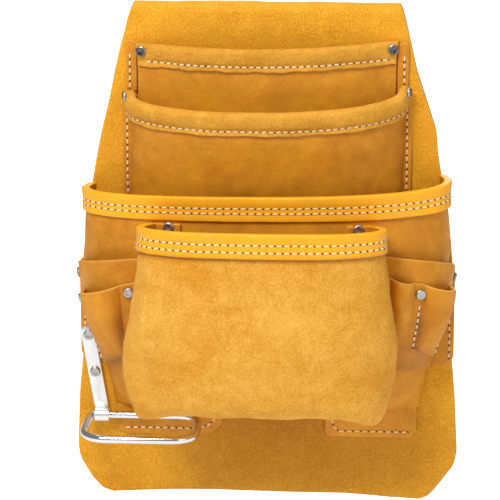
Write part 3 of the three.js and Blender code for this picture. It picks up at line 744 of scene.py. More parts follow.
@dataclass
class Stitching:
    """Thread of a piece's seams, and dark blobs that paint the shade of its needle holes."""

    thread: Material
    hole: Material
    bead: Place = (1.5, 0.5, 0.45)
    pit: Place = (0.85, 0.48, 0.22)
    pit_turn: float = -50.0

    @staticmethod
    def unit_shape(squareness: float) -> tuple[Array, Array]:
        """Vertices and four-cornered faces of one small round shape."""
        bm = bmesh.new()
        bmesh.ops.create_cube(bm, size=2.0)
        bmesh.ops.subdivide_edges(bm, edges=bm.edges, cuts=2, use_grid_fill=True)
        for vertex in bm.verts:
            long = vertex.co.x
            vertex.co = vertex.co.normalized()
            vertex.co.x = long + (vertex.co.x - long) * squareness
        bm.verts.index_update()
        places = np.array([v.co[:] for v in bm.verts])
        faces = np.array([[v.index for v in f.verts] for f in bm.faces])
        bm.free()
        return places, faces

    def build(self, name: str, seams: Sequence[SeamLine]) -> Object:
        """Makes one piece with all the stitches of some seams.

        Args:
            name: The piece's name.
            seams: Its rows of stitches.

        Returns:
            The object, with thread as material 0 and holes as material 1.
        """
        vertices, faces, kinds = [], [], []
        shapes = [(self.unit_shape(0.55), self.bead), (self.unit_shape(1.0), self.pit)]
        for seam in seams:
            middles, along, outward = seam.frames()
            sideways = np.cross(outward, along)
            for kind, ((places, quads), size) in enumerate(shapes):
                turn = math.radians(seam.slant if kind == 0 else self.pit_turn)
                lead = along * math.cos(turn) + sideways * math.sin(turn)
                side = sideways * math.cos(turn) - along * math.sin(turn)
                shift = along * seam.pitch / 2 * kind
                for k in range(len(middles)):
                    local = places * size
                    spots = (middles[k] + shift[k] + local[:, :1] * lead[k]
                             + local[:, 1:2] * side[k] + local[:, 2:] * outward[k])
                    faces.append(quads + len(vertices) * len(places))
                    vertices.append(spots)
                    kinds.extend([kind] * len(quads))
        mesh = bpy.data.meshes.new(name)
        mesh.from_pydata(to_world(np.vstack(vertices)).tolist(), [], np.vstack(faces).tolist())
        mesh.materials.append(self.thread)
        mesh.materials.append(self.hole)
        mesh.polygons.foreach_set("material_index", kinds)
        mesh.shade_smooth()
        return show(name, mesh)


class Graph:
    """Places shader nodes in a tree and joins them."""

    def __init__(self, tree: NodeTree) -> None:
        """Keeps the tree."""
        self.tree = tree

    def add(self, kind: str, values: dict | None = None, **settings: object) -> Node:
        """Places a node.

        Args:
            kind: The node's type.
            values: Input values, or sockets to join to them, by name or number.
            settings: The node's own settings.

        Returns:
            The node.
        """
        node = self.tree.nodes.new(kind)
        for key, value in settings.items():
            setattr(node, key, value)
        self.fill(node, values or {})
        return node

    def fill(self, node: Node, values: dict) -> None:
        """Sets a node's inputs, or joins sockets to them, by name or number."""
        for key, value in values.items():
            if isinstance(value, NodeSocket):
                self.tree.links.new(value, node.inputs[key])
            else:
                node.inputs[key].default_value = value

    def math(self, operation: str, *values: object) -> NodeSocket:
        """Places a sum on numbers and returns its result."""
        node = self.add("ShaderNodeMath", dict(enumerate(values)), operation=operation)
        return node.outputs[0]

    def blend(self, share: object, first: object, second: object) -> NodeSocket:
        """Blends two colours by a share and returns the result."""
        ends = [(*end, 1.0) if isinstance(end, tuple) else end for end in (first, second)]
        values = {0: share, 6: ends[0], 7: ends[1]}
        return self.add("ShaderNodeMix", values, data_type="RGBA").outputs[2]

    def spread(self, value: object, span: tuple[float, float],
               result: tuple[float, float] = (0.0, 1.0)) -> NodeSocket:
        """Maps a span of values to another and returns the result."""
        return self.add("ShaderNodeMapRange", {
            "Value": value, "From Min": span[0], "From Max": span[1],
            "To Min": result[0], "To Max": result[1],
        }).outputs[0]

    def noise(self, place: object, scale: object, detail: float = 3.0,
              rough: float = 0.55) -> NodeSocket:
        """Places a noise pattern and returns its values."""
        values = {"Vector": place, "Scale": scale, "Detail": detail, "Roughness": rough}
        return self.add("ShaderNodeTexNoise", values).outputs["Fac"]

    def mask(self, name: str) -> NodeSocket:
        """Reads one of a wall's masks."""
        return self.add("ShaderNodeAttribute", attribute_name=name).outputs["Fac"]

    def bump(self, strength: float, distance: float, height: object) -> NodeSocket:
        """Places a bump and returns its normal."""
        values = {"Strength": strength, "Distance": distance, "Height": height}
        return self.add("ShaderNodeBump", values).outputs[0]


def build_group(name: str, inputs: dict[str, float | None], outputs: Sequence[str],
                fill: Callable[[Graph, Node], dict]) -> NodeTree:
    """Builds a shader node group.

    Args:
        name: Its name.
        inputs: Its inputs with their values; None marks a place.
        outputs: Its outputs, all numbers.
        fill: Makes the nodes from the inputs, and returns a socket for each output.

    Returns:
        The group.
    """
    group = bpy.data.node_groups.new(name, "ShaderNodeTree")
    for key, value in inputs.items():
        kind = "NodeSocketVector" if value is None else "NodeSocketFloat"
        socket = group.interface.new_socket(key, in_out="INPUT", socket_type=kind)
        if value is not None:
            socket.default_value = value
    for key in outputs:
        group.interface.new_socket(key, in_out="OUTPUT", socket_type="NodeSocketFloat")
    graph = Graph(group)
    entry = graph.add("NodeGroupInput")
    graph.add("NodeGroupOutput", fill(graph, entry))
    return group


class Effects:
    """The effects that several finishes share."""

    def __init__(self) -> None:
        """Builds every group once."""
        self.mottle = build_group(
            "hide_mottle", {"Place": None, "Patches": 0.5, "Clouds": 0.3, "Specks": 0.2},
            ["Tone"], self.fill_mottle,
        )
        self.nap = build_group("hide_nap", {"Place": None}, ["Height"], self.fill_nap)
        self.grain = build_group("hide_grain", {"Place": None}, ["Height"], self.fill_grain)
        self.scratch = build_group("metal_scratch", {"Place": None}, ["Mark"], self.fill_scratch)

    @staticmethod
    def fill_mottle(graph: Graph, entry: Node) -> dict:
        """Dye that took unevenly: large patches, clouds and fine specks."""
        place = entry.outputs["Place"]
        layers = [("Patches", 26.0, 2.0), ("Clouds", 120.0, 3.0), ("Specks", 900.0, 2.0)]
        total = 0.5
        for name, scale, detail in layers:
            centred = graph.math("SUBTRACT", graph.noise(place, scale, detail), 0.5)
            weighed = graph.math("MULTIPLY", centred, entry.outputs[name])
            total = graph.math("ADD", weighed, total)
        return {"Tone": total}

    @staticmethod
    def fill_nap(graph: Graph, entry: Node) -> dict:
        """Short fibres of a split hide."""
        place = entry.outputs["Place"]
        fibres = graph.noise(place, 1500.0, 3.0, 0.7)
        tufts = graph.noise(place, 420.0, 3.0, 0.6)
        return {"Height": graph.math("ADD", graph.math("MULTIPLY", fibres, 0.45), tufts)}

    @staticmethod
    def fill_grain(graph: Graph, entry: Node) -> dict:
        """Small pebbles and pores of a grain side."""
        place = entry.outputs["Place"]
        bend = graph.noise(place, 300.0, 2.0)
        cells = graph.add(
            "ShaderNodeTexVoronoi", {"Vector": place, "Scale": 620.0}, feature="SMOOTH_F1"
        ).outputs["Distance"]
        pores = graph.noise(place, 1300.0, 2.0)
        rough = graph.math("MULTIPLY", pores, 0.35)
        return {"Height": graph.math("ADD", graph.math("MULTIPLY", cells, bend), rough)}

    @staticmethod
    def fill_scratch(graph: Graph, entry: Node) -> dict:
        """Fine handling marks on metal."""
        place = entry.outputs["Place"]
        thin = graph.add(
            "ShaderNodeMapping", {"Vector": place, "Rotation": (0.3, 0.5, 0.8),
                                  "Scale": (2600.0, 160.0, 500.0)}
        ).outputs[0]
        marks = graph.noise(thin, 1.0, 2.0)
        clouds = graph.noise(place, 260.0, 2.0)
        return {"Mark": graph.math("ADD", graph.math("MULTIPLY", marks, 0.5),
                                   graph.math("MULTIPLY", clouds, 0.5))}


def start_material(name: str) -> tuple[Material, Graph, Node, object]:
    """A material with its shader and object places."""
    material = bpy.data.materials.new(name)
    material.use_nodes = True
    graph = Graph(material.node_tree)
    shader = material.node_tree.nodes["Principled BSDF"]
    return material, graph, shader, graph.add("ShaderNodeTexCoord").outputs["Object"]


class Surface(Enum):
    """The side of a hide that shows."""

    GRAIN = "grain"
    SUEDE = "suede"


def tinted(colour: Colour, factors: Colour) -> Colour:
    """A colour with each of its parts multiplied."""
    return tuple(part * factor for part, factor in zip(colour, factors))


@dataclass(frozen=True)
class HideFinish:
    """A dyed hide, smooth or suede, with its cut edges, and painted shade on its inner side and in
    its dents.
    """

    name: str
    surface: Surface
    deep: Colour
    pale: Colour
    edge: Colour
    patches: float = 0.5
    clouds: float = 0.4
    specks: float = 0.4
    rough: tuple[float, float] = (0.5, 0.62)
    bump: float = 0.35
    sheen: float = 0.0
    turn: float = 0.0
    scuff: Place | None = None
    scuff_tint: Colour = (0.95, 0.85, 0.7)
    # Tints and strength of the painted shade on the inner side and in the dents.
    inner_shade_factors: Colour = (0.8, 0.72, 0.7)
    painted_shade_factors: Colour = (0.52, 0.48, 1.6)
    inner_shade_strength: float = 0.7
    gloss: float = 0.3
    sheen_rough: float = 0.45
    relief_height: float = 0.0006

    def build(self, effects: Effects) -> Material:
        """Makes the material."""
        material, graph, shader, place = start_material(self.name)
        place = graph.add(
            "ShaderNodeMapping", {"Vector": place, "Location": (self.turn, self.turn, 0.0)}
        ).outputs[0]
        tone = graph.add("ShaderNodeGroup", {
            "Place": place, "Patches": self.patches, "Clouds": self.clouds, "Specks": self.specks,
        }, node_tree=effects.mottle).outputs["Tone"]
        held = graph.math("MAXIMUM", graph.math("MINIMUM", tone, 1.0), 0.0)
        colour = graph.blend(held, self.deep, self.pale)
        # Patchy strength of the dents' painted shade.
        painted_shade_strength = graph.math("MULTIPLY_ADD", graph.noise(place, 620.0, 3.0), 1.5, 0.2)
        fuzz = graph.math("MULTIPLY_ADD", graph.noise(place, 700.0, 2.0), 0.5, 0.55)
        # The inside mask and the dents' mask paint shade into the colour; raw tints the cut edges.
        for mask, strength, tint in (
            ("inside", self.inner_shade_strength, tinted(self.deep, self.inner_shade_factors)),
            ("painted_shade", painted_shade_strength, tinted(self.deep, self.painted_shade_factors)),
            ("raw", fuzz, self.edge),
        ):
            share = graph.math("MULTIPLY", graph.mask(mask), strength)
            colour = graph.blend(share, colour, tint)
        if self.scuff:
            colour = graph.blend(self.scuff_mask(graph), colour, self.scuff_tint)
        group = effects.grain if self.surface is Surface.GRAIN else effects.nap
        relief = graph.add("ShaderNodeGroup", {"Place": place}, node_tree=group)
        graph.fill(shader, {
            "Base Color": colour,
            "Roughness": graph.spread(tone, (0.2, 0.8), self.rough[::-1]),
            "Specular IOR Level": self.gloss,
            "Sheen Weight": self.sheen,
            "Sheen Roughness": self.sheen_rough,
            "Sheen Tint": (*self.pale, 1.0),
            "Normal": graph.bump(self.bump, self.relief_height, relief.outputs["Height"]),
        })
        return material

    def scuff_mask(self, graph: Graph) -> NodeSocket:
        """Where a knock has scraped the nap to a few pale specks."""
        place = graph.add("ShaderNodeTexCoord").outputs["Object"]
        away = graph.add(
            "ShaderNodeVectorMath", {0: place, 1: self.scuff}, operation="DISTANCE"
        ).outputs["Value"]
        near = graph.spread(away, (0.004, 0.001))
        speck = graph.spread(graph.noise(place, 1100.0, 1.0), (0.42, 0.56))
        return graph.math("MULTIPLY", near, speck)


@dataclass(frozen=True)
class MetalFinish:
    """A plated metal with fine handling marks."""

    name: str
    colour: Colour
    rough: tuple[float, float]
    bump: float = 0.05
    dulling: Colour = (0.82, 0.82, 0.82)
    relief_height: float = 0.0002

    def build(self, effects: Effects) -> Material:
        """Makes the material."""
        material, graph, shader, place = start_material(self.name)
        marks = graph.add("ShaderNodeGroup", {"Place": place}, node_tree=effects.scratch)
        mark = marks.outputs["Mark"]
        graph.fill(shader, {
            "Metallic": 1.0,
            "Base Color": graph.blend(mark, self.colour, tinted(self.colour, self.dulling)),
            "Roughness": graph.spread(mark, (0.3, 0.7), self.rough),
            "Normal": graph.bump(self.bump, self.relief_height, mark),
        })
        return material


@dataclass(frozen=True)
class PlainFinish:
    """A matt finish with a little colour change, for thread and painted needle-hole shade."""

    name: str
    colour: Colour
    shade: Colour
    scale: float
    rough: float
    bump: float = 0.3
    relief_height: float = 0.0003

    def build(self) -> Material:
        """Makes the material."""
        material, graph, shader, place = start_material(self.name)
        tone = graph.noise(place, self.scale, 2.0)
        graph.fill(shader, {
            "Base Color": graph.blend(tone, self.shade, self.colour),
            "Roughness": self.rough,
            "Normal": graph.bump(self.bump, self.relief_height, tone),
        })
        return material


class Finishes:
    """Every material of the apron, built once."""

    def __init__(self) -> None:
        """Builds the materials."""
        effects = Effects()
        edge = (0.72, 0.36, 0.08)
        self.panel = HideFinish(
            "panel_hide", Surface.SUEDE, (0.62, 0.25, 0.006), (0.86, 0.41, 0.016), edge,
            patches=0.9, clouds=0.7, specks=2.6, rough=(0.66, 0.82), bump=0.85, sheen=0.05,
        ).build(effects)
        self.grain = HideFinish(
            "golden_grain_hide", Surface.GRAIN, (0.5, 0.175, 0.005), (0.74, 0.31, 0.014), edge,
            patches=1.5, clouds=1.0, specks=1.0, rough=(0.48, 0.65), bump=0.35, turn=0.31,
        ).build(effects)
        self.hem = HideFinish(
            "hem_suede", Surface.SUEDE, (0.5, 0.2, 0.01), (0.82, 0.41, 0.05), edge,
            patches=0.9, clouds=0.8, specks=1.3, rough=(0.88, 0.98), bump=0.8, sheen=0.1, turn=0.53,
        ).build(effects)
        self.band = HideFinish(
            "band_grain_hide", Surface.GRAIN, (0.88, 0.34, 0.004), (0.97, 0.47, 0.018), edge,
            patches=0.8, clouds=0.4, specks=0.2, rough=(0.36, 0.5), bump=0.18, turn=0.17,
        ).build(effects)
        self.suede = HideFinish(
            "front_suede", Surface.SUEDE, (0.6, 0.235, 0.008), (0.83, 0.435, 0.07), edge,
            patches=1.1, clouds=0.9, specks=1.7, rough=(0.88, 0.97), bump=0.8, sheen=0.08,
            turn=0.71, scuff=(-0.0742, -0.0905, -0.1405),
        ).build(effects)
        self.nickel = MetalFinish("rivet_nickel", (0.55, 0.53, 0.5), (0.32, 0.48)).build(effects)
        # A dark copy of the nickel: painted dark reflection on the upper rivets' heads.
        self.dark_reflection_nickel = MetalFinish(
            "rivet_nickel_aged", (0.14, 0.14, 0.135), (0.16, 0.3)
        ).build(effects)
        self.steel = MetalFinish("plate_steel", (0.93, 0.93, 0.92), (0.3, 0.42)).build(effects)
        self.chrome = MetalFinish(
            "ring_chrome", (0.85, 0.86, 0.88), (0.12, 0.19), 0.02
        ).build(effects)
        self.thread = PlainFinish(
            "cream_thread", (0.95, 0.85, 0.6), (0.74, 0.6, 0.36), 2400.0, 0.75
        ).build()
        # Dark brown blobs: painted shade in the needle holes.
        self.hole = PlainFinish(
            "needle_hole_shade", (0.16, 0.045, 0.008), (0.07, 0.018, 0.003), 900.0, 0.95
        ).build()


@dataclass(frozen=True)
class Hem:
    """A folded rim: its swelling, and where its stitches press it down."""

    puff: float
    pinch: float
    seams: tuple[float, ...]
    inner_steps: int = 22
    body_steps: int = 44
    seam_width: float = 0.07
    last_level: float = 0.975

    def height(self, level: Array) -> Array:
        """How far the hem's outer side stands off the pouch's inner face."""
        first = self.seams[0]
        swell = self.puff * np.sin(math.pi * np.clip(level / first, 0, 1)) ** 0.8
        press = sum(np.exp(-(((level - seam) / self.seam_width) ** 2)) for seam in self.seams)
        return 2 * LEATHER + swell - self.pinch * press

    def stations(self, face: HemmedFace) -> list[Station]:
        """The cross-section of a hemmed wall."""
        first = LEATHER / face.hem
        span = np.linspace(face.limit, first, self.inner_steps)
        # The inner side: painted shade through its inside mask.
        inner = [Station(x, 0.0, inside=1.0) for x in span]
        rim = []
        for turn in np.linspace(0, math.pi, 11)[1:]:
            level = first * (1 - math.sin(turn))
            rise = LEATHER * (1 - math.cos(turn))
            rim.append(Station(level, rise, inside=max(1 - turn, 0.0), band=1.0))
        hem = []
        for level in np.linspace(first, self.last_level, 18)[1:]:
            hem.append(Station(level, float(self.height(np.array(level))), band=1.0))
        top = hem[-1].height
        # The raw edge; the inside values just under it paint a thin shadow line below the hem.
        edge = [
            Station(0.992, top - 0.15, 0.4, 0.0, 1.0), Station(1.0, top - 0.7, 1.0, 0.0, 1.0),
            Station(1.0, LEATHER + 0.35, 1.0, 0.0, 1.0), Station(1.002, LEATHER, 0.2, 0.6, 0.0),
            Station(1.03, LEATHER, 0.0, 0.2, 0.0),
        ]
        levels = np.linspace(1.06, face.limit, self.body_steps)
        body = [Station(x, LEATHER) for x in levels]
        return [*inner, *rim, *hem, *edge, *body, inner[0]]

    def seam_lines(self, face: Face, reach: float, knots: int, pitch: float,
                   relief: Relief) -> list[SeamLine]:
        """The hem's rows of stitches.

        Args:
            face: The pouch's face.
            reach: Share at which the rows end on both sides.
            knots: Points that each row is led through.
            pitch: From stitch to stitch.
            relief: The pouch's waves and dents.

        Returns:
            The rows, from the rim down.
        """
        seams = []
        for level in self.seams:
            height = self.height(np.array([level]))[0] + THREAD_LIFT
            line = tuple((share, level) for share in np.linspace(-reach, reach, knots))
            seams.append(SeamLine(face, line, height, pitch, relief=relief))
        return seams


def cut_stations(limit: float, first: float, last: float, steps: int) -> list[Station]:
    """The cross-section of a wall whose rim is a raw cut edge.

    Args:
        limit: The last level.
        first: Level of a millimetre near the rim.
        last: Level of a millimetre near the bottom.
        steps: Steps on each side.

    Returns:
        The stations, from the inner bottom over the rim and back.
    """
    span = np.linspace(0.5 * first, limit - 0.5 * last, steps)
    # The inner side: painted shade through its inside mask.
    inner = [Station(x, 0.0, inside=0.8) for x in span[::-1]]
    rim = [Station(0.1 * first, CUT_ROUND, 1.0), Station(0.0, LEATHER / 2, 1.0),
           Station(0.1 * first, LEATHER - CUT_ROUND, 1.0)]
    outer = [Station(x, LEATHER) for x in span]
    low = limit - 0.1 * last
    foot = [Station(low, LEATHER - CUT_ROUND, 1.0), Station(limit, LEATHER / 2, 1.0),
            Station(low, CUT_ROUND, 1.0)]
    return [*inner, *rim, *outer, *foot, inner[0]]


def rest_on_panel(places: Array) -> Array:
    """Keeps places just in front of the back panel."""
    places[:, 1] = np.maximum(places[:, 1], SEAT_GAP)
    return places


def leave(places: Array) -> Array:
    """Leaves places as they are."""
    return places


@dataclass
class Rivet:
    """A domed rivet head with a soft dimple."""

    radius: float = 3.5
    rise: float = 1.7
    profile: Line = (
        (0.0, 0.8), (0.25, 0.82), (0.5, 0.93), (0.68, 0.99), (0.8, 0.95), (0.9, 0.78),
        (0.97, 0.5), (1.0, 0.25), (0.98, 0.08), (0.92, 0.0), (0.0, 0.0),
    )
    rim_from: float = 0.8

    def build(self, name: str, place: Array, outward: Array, material: Material,
              rim: Material | None = None) -> Object:
        """Makes a rivet head.

        Args:
            name: The CAD node's name.
            place: Middle of its seat, as across, depth and drop.
            outward: Direction away from the hide.
            material: Its metal.
            rim: The metal of its rim, if any: a brighter metal that paints a highlight ring round
                the head.

        Returns:
            The object.
        """
        bm = bmesh.new()
        points = [
            bm.verts.new((x * self.radius * MM, 0, z * self.rise * MM)) for x, z in self.profile
        ]
        edges = [bm.edges.new(pair) for pair in zip(points, points[1:])]
        bmesh.ops.spin(
            bm, geom=[*points, *edges], axis=(0, 0, 1), cent=(0, 0, 0), angle=2 * math.pi,
            steps=28, use_merge=True,
        )
        close_shell(bm)
        for face in bm.faces:
            outer = face.calc_center_median().xy.length > self.rim_from * self.radius * MM
            face.material_index = int(outer and rim is not None)
        seat = Vector(to_world(place[None, :])[0])
        aim = Vector((outward[0], -outward[1], -outward[2]))
        turn = Vector((0, 0, 1)).rotation_difference(aim).to_matrix().to_4x4()
        bmesh.ops.transform(bm, matrix=Matrix.Translation(seat) @ turn, verts=bm.verts)
        metals = [material, rim] if rim else [material]
        return dress(make_object(bm, f"{name}_head", metals, 60), "rivet_nickel", name)


def rivet_on(face: Face, share: float, level: float, height: float) -> tuple[Array, Array]:
    """Place and direction of a rivet that stands off a face."""
    at = np.array([share]), np.array([level])
    return face.stand(*at, height)[0], face.normal(*at)[0]


def upper_rivets(stem: str, face: Face, spot: tuple[float, float], height: float,
                 looks: Finishes) -> None:
    """Rivets at both ends of an upper pocket's rim.

    Their dark heads paint a dark reflection, and their brighter rims paint a highlight.

    Args:
        stem: The CAD nodes' names without the side.
        face: The pocket's face.
        spot: Share, to the right, and level.
        height: How far they stand off the face.
        looks: The finishes.
    """
    for side in Side:
        place, outward = rivet_on(face, side.value * spot[0], spot[1], height)
        Rivet().build(f"{stem}_{side.name.lower()}", place, outward, looks.dark_reflection_nickel, looks.nickel)


def strip_seam(*line: tuple[float, float]) -> SeamLine:
    """A row of straight stitches on a narrow flat strip."""
    return SeamLine(STRIP_FRONT, line, THREAD_LIFT, pitch=4.4, slant=0.0)


def finish_pouch(name: str, slot: str, parts: Sequence[BMesh],
                 materials: Sequence[Material], stitching: Stitching,
                 seams: Sequence[SeamLine]) -> None:
    """Joins a pouch's meshes, and dresses the pouch and its stitches.

    Args:
        name: The CAD node's name.
        slot: The slot of both pieces; not used.
        parts: The pouch's meshes, which are freed.
        materials: Its hide and the hide of its hem.
        stitching: The thread.
        seams: Its rows of stitches.
    """
    dress(make_object(join_meshes(parts), f"{name}_hide", materials), slot, name)
    dress(stitching.build(f"{name}_stitches", seams), slot)


@dataclass
class BackPanel:
    """The back panel with the belt tunnel that is folded to its rear."""

    face: PanelFace = field(default_factory=PanelFace)
    columns: int = 120
    steps: int = 120
    seam_half: float = 86.0
    seam_drops: tuple[float, float] = (95.0, 101.0)
    seam_lift: float = 0.45

    def build(self, looks: Finishes, stitching: Stitching) -> None:
        """Makes the panel and the seam of its tunnel."""
        face = self.face
        fold = np.linspace(face.lengths[face.fold_start], face.lengths[face.fold_end], 26)
        levels = np.unique(np.concatenate([np.linspace(0.5, face.limit - 0.5, self.steps), fold]))
        ends = [Station(0.1, CUT_ROUND, 1.0), Station(0.0, LEATHER / 2, 1.0),
                Station(0.1, LEATHER - CUT_ROUND, 1.0)]
        foot = [Station(face.limit - s.level, s.height, 1.0) for s in reversed(ends)]
        rear = [Station(x, 0.0, inside=0.35) for x in levels[::-1]]
        stations = [*rear, *ends, *[Station(x, LEATHER) for x in levels], *foot, rear[0]]
        # Painted shade: the lower panel is darker towards the bottom, where the pouches shade it.
        shades = (
            Dent(0.1, face.limit - 18.0, 0.95, 60.0, 0.0, painted_shade=0.4),
            Dent(0.1, face.limit - 50.0, 0.6, 20.0, 0.0, painted_shade=0.3),
        )
        relief = Relief(0.5, 45.0, shades, seed=3.0)
        bm = Wall(face, self.columns, stations, relief, leave).build()
        dress(make_object(bm, "back_panel_hide", [looks.panel]), "smooth_hide", "back_panel")
        rear_face = FlatFace(-2 * LEATHER - SEAT_GAP, -1.0)
        seams = [
            SeamLine(rear_face, ((-self.seam_half, drop), (self.seam_half, drop)), self.seam_lift)
            for drop in self.seam_drops
        ]
        dress(stitching.build("tunnel_stitches", seams), "smooth_hide")


@dataclass
class UpperRearPocket:
    """The small pocket nearest the belt, which lies flat on the panel."""

    face: PouchFace = field(default_factory=lambda: PouchFace(
        24, 132, 84.5, 16, 2.2, 1.5, 0, RowTable({
            "drop": (0, 0.11, 0.4, 0.75, 1), "width": (1, 0.985, 0.985, 0.98, 0.95),
            "reach": (1, 1, 0.8, 0.45, 0), "tuck": (0, 0, 0, 0, 0),
            "slack": (1, 0.9, 0.3, 0, 0),
        }), bell=True))
    hem: Hem = Hem(1.9, 0.6, (0.84,))
    relief: Relief = Relief(0.5, 24.0, (
        Dent(-0.55, 0.5, 0.22, 0.5, 0.7), Dent(0.5, 0.45, 0.25, 0.5, 0.8),
        Dent(0.0, 2.0, 0.4, 0.8, 1.0), Dent(-0.5, 1.8, 0.2, 0.7, -0.8),
        Dent(-0.955, 0.5, 0.07, 0.34, -1.9), Dent(0.955, 0.5, 0.07, 0.34, -1.9),
    ), seed=1.0)
    fray: float = 0.014
    flange_inner: float = 82.0
    flange_outer: tuple[float, float] = (88.4, 88.8)

    def build(self, looks: Finishes, stitching: Stitching) -> None:
        """Makes the pocket, its side flanges, its stitches and its two rivets."""
        stations = self.hem.stations(self.face)
        parts = [Wall(self.face, 170, stations, self.relief, rest_on_panel, self.fray).build()]
        seams = self.hem.seam_lines(self.face, 0.93, 9, 4.4, self.relief)
        for side, edge in zip((-1, 1), self.flange_outer):
            outline = [
                (side * self.flange_inner, 25.0), (side * (edge - 2.5), 23.6),
                (side * (edge - 0.6), 24.4), (side * edge, 26.5), (side * edge, 56.2),
                (side * self.flange_inner, 56.4),
            ]
            parts.append(plate_mesh(outline, SEAT_GAP))
            seams.append(strip_seam((side * 86.1, 31.5), (side * 86.3, 55.0)))
        finish_pouch("upper_rear_pocket", "smooth_hide", parts, [looks.grain, looks.hem],
                     stitching, seams)
        upper_rivets("upper_rear_rivet", self.face, (0.955, 0.5), 2 * LEATHER + SEAT_GAP, looks)


@dataclass
class UpperNailPocket:
    """The deep nail pocket, which stands off the panel and sags at its rim."""

    face: PouchFace = field(default_factory=lambda: PouchFace(
        53, 124, 88, 36, 9, 2.5, 2, RowTable({
            "drop": (0, 0.129, 0.35, 0.6, 0.84, 0.95, 1),
            "width": (1, 1, 0.99, 0.985, 0.98, 0.96, 0.94),
            "reach": (1, 1, 0.84, 0.66, 0.45, 0.25, 0),
            "corner": (2.15, 2.1, 2, 2, 2, 1.9, 1.8),
            "tuck": (0.5, 1, 0.5, 0.2, 0, 0, 0), "slack": (1, 0.85, 0.4, 0.1, 0, 0, 0),
        })))
    hem: Hem = Hem(2.5, 0.8, (0.85,))
    relief: Relief = Relief(0.6, 22.0, (
        Dent(-0.62, 0.4, 0.12, 0.5, 0.9), Dent(0.6, 0.4, 0.14, 0.5, 0.9),
        Dent(-0.25, 1.8, 0.2, 1.0, 0.8), Dent(0.3, 2.0, 0.2, 1.0, 0.9),
        Dent(-0.9, 0.25, 0.07, 0.3, -2.3), Dent(0.9, 0.25, 0.07, 0.3, -2.3),
    ), seed=5.0)
    fray: float = 0.014
    flange: Line = (
        (84.0, 57.0), (90.5, 58.5), (91.5, 66.0), (91.2, 120.0), (90.2, 165.0), (88.0, 174.0),
        (82.0, 175.0),
    )
    flange_seam: Line = ((88.2, 64.0), (88.6, 110.0), (87.6, 160.0))

    def build(self, looks: Finishes, stitching: Stitching) -> None:
        """Makes the pocket, its side flanges, its stitches and its two rivets."""
        stations = self.hem.stations(self.face)
        parts = [Wall(self.face, 200, stations, self.relief, rest_on_panel, self.fray).build()]
        seams = self.hem.seam_lines(self.face, 0.86, 25, 4.4, self.relief)
        for side in (-1, 1):
            parts.append(plate_mesh([(side * x, drop) for x, drop in self.flange], SEAT_GAP))
            seams.append(strip_seam(*[(side * x, drop) for x, drop in self.flange_seam]))
        finish_pouch("upper_nail_pocket", "smooth_hide", parts, [looks.grain, looks.hem],
                     stitching, seams)
        upper_rivets("upper_nail_rivet", self.face, (0.9, 0.25), 2 * LEATHER + 0.6, looks)


@dataclass
class MainPouch:
    """The large pouch across the bag, with the two feet of its sewn bottom edge."""

    face: MainFace = field(default_factory=lambda: MainFace(
        113, 151, 119, 45, 1, 4, 8, RowTable({
            "drop": (0, 0.103, 0.28, 0.5, 0.66, 0.8, 0.92, 0.985, 1, 1.14),
            "width": (1, 1, 0.995, 0.955, 0.905, 0.87, 0.845, 0.83, 0.83, 0.83),
            "reach": (0.95, 0.98, 1, 1, 1, 0.96, 0.76, 0.42, 0, 0),
            "corner": (2.5, 2.5, 2.5, 2.45, 2.3, 2.1, 1.8, 1.6, 1.6, 1.6),
            "tuck": (1, 0.8, 0.3, 0.05, 0, 0, 0, 0, 0, 0),
            "slack": (1, 0.7, 0.2, 0, 0, 0, 0, 0, 0, 0),
        })))
    hem: Hem = Hem(0.7, 0.35, (0.6, 0.76))
    relief: Relief = Relief(0.35, 26.0, (
        Dent(-0.3, 1.2, 0.1, 1.0, -0.7), Dent(0.28, 1.3, 0.1, 1.2, 0.6),
        Dent(0.55, 3.2, 0.1, 1.2, 0.7), Dent(-0.5, 5.0, 0.1, 1.0, 0.7),
    ), seed=9.0)
    foot_half: float = 96.9
    foot_top: float = 262.5
    foot_bottom: float = 285.1
    gap_left: float = -28.0
    gap_right: float = 38.0
    gap_top: float = 269.2
    foot_seams: tuple[Line, ...] = (
        ((-93.0, 281.0), (-45.0, 281.0), (-38.0, 278.5), (-33.0, 273.0)),
        ((42.5, 272.0), (43.0, 277.5), (46.5, 281.2), (92.0, 281.2)),
        ((-31.0, 267.0), (40.0, 267.0)),
    )

    def feet(self) -> BMesh:
        """The sewn strip under the pouch, cut away between its two feet."""
        low = self.foot_bottom
        outline = [
            (-self.foot_half, self.foot_top), (self.foot_half, self.foot_top),
            *round_corner((self.foot_half, low), 6.0, 0.0),
            *round_corner((self.gap_right, low), 4.0, 90.0),
            (self.gap_right, self.gap_top), (self.gap_left, self.gap_top),
            *round_corner((self.gap_left, low), 15.0, 0.0),
            *round_corner((-self.foot_half, low), 6.0, 90.0),
        ]
        return plate_mesh(outline, SEAT_GAP)

    def build(self, looks: Finishes, stitching: Stitching) -> None:
        """Makes the pouch, its feet and its stitches."""
        stations = [s for s in self.hem.stations(self.face) if s.level <= self.face.bottom_level]
        stations.append(stations[0])
        wall = Wall(self.face, 200, stations, self.relief, rest_on_panel).build()
        seams = self.hem.seam_lines(self.face, 0.94, 33, 4.9, self.relief)
        seams.extend(SeamLine(STRIP_FRONT, line, THREAD_LIFT) for line in self.foot_seams)
        finish_pouch("main_pouch", "smooth_hide", [wall, self.feet()], [looks.grain, looks.band],
                     stitching, seams)


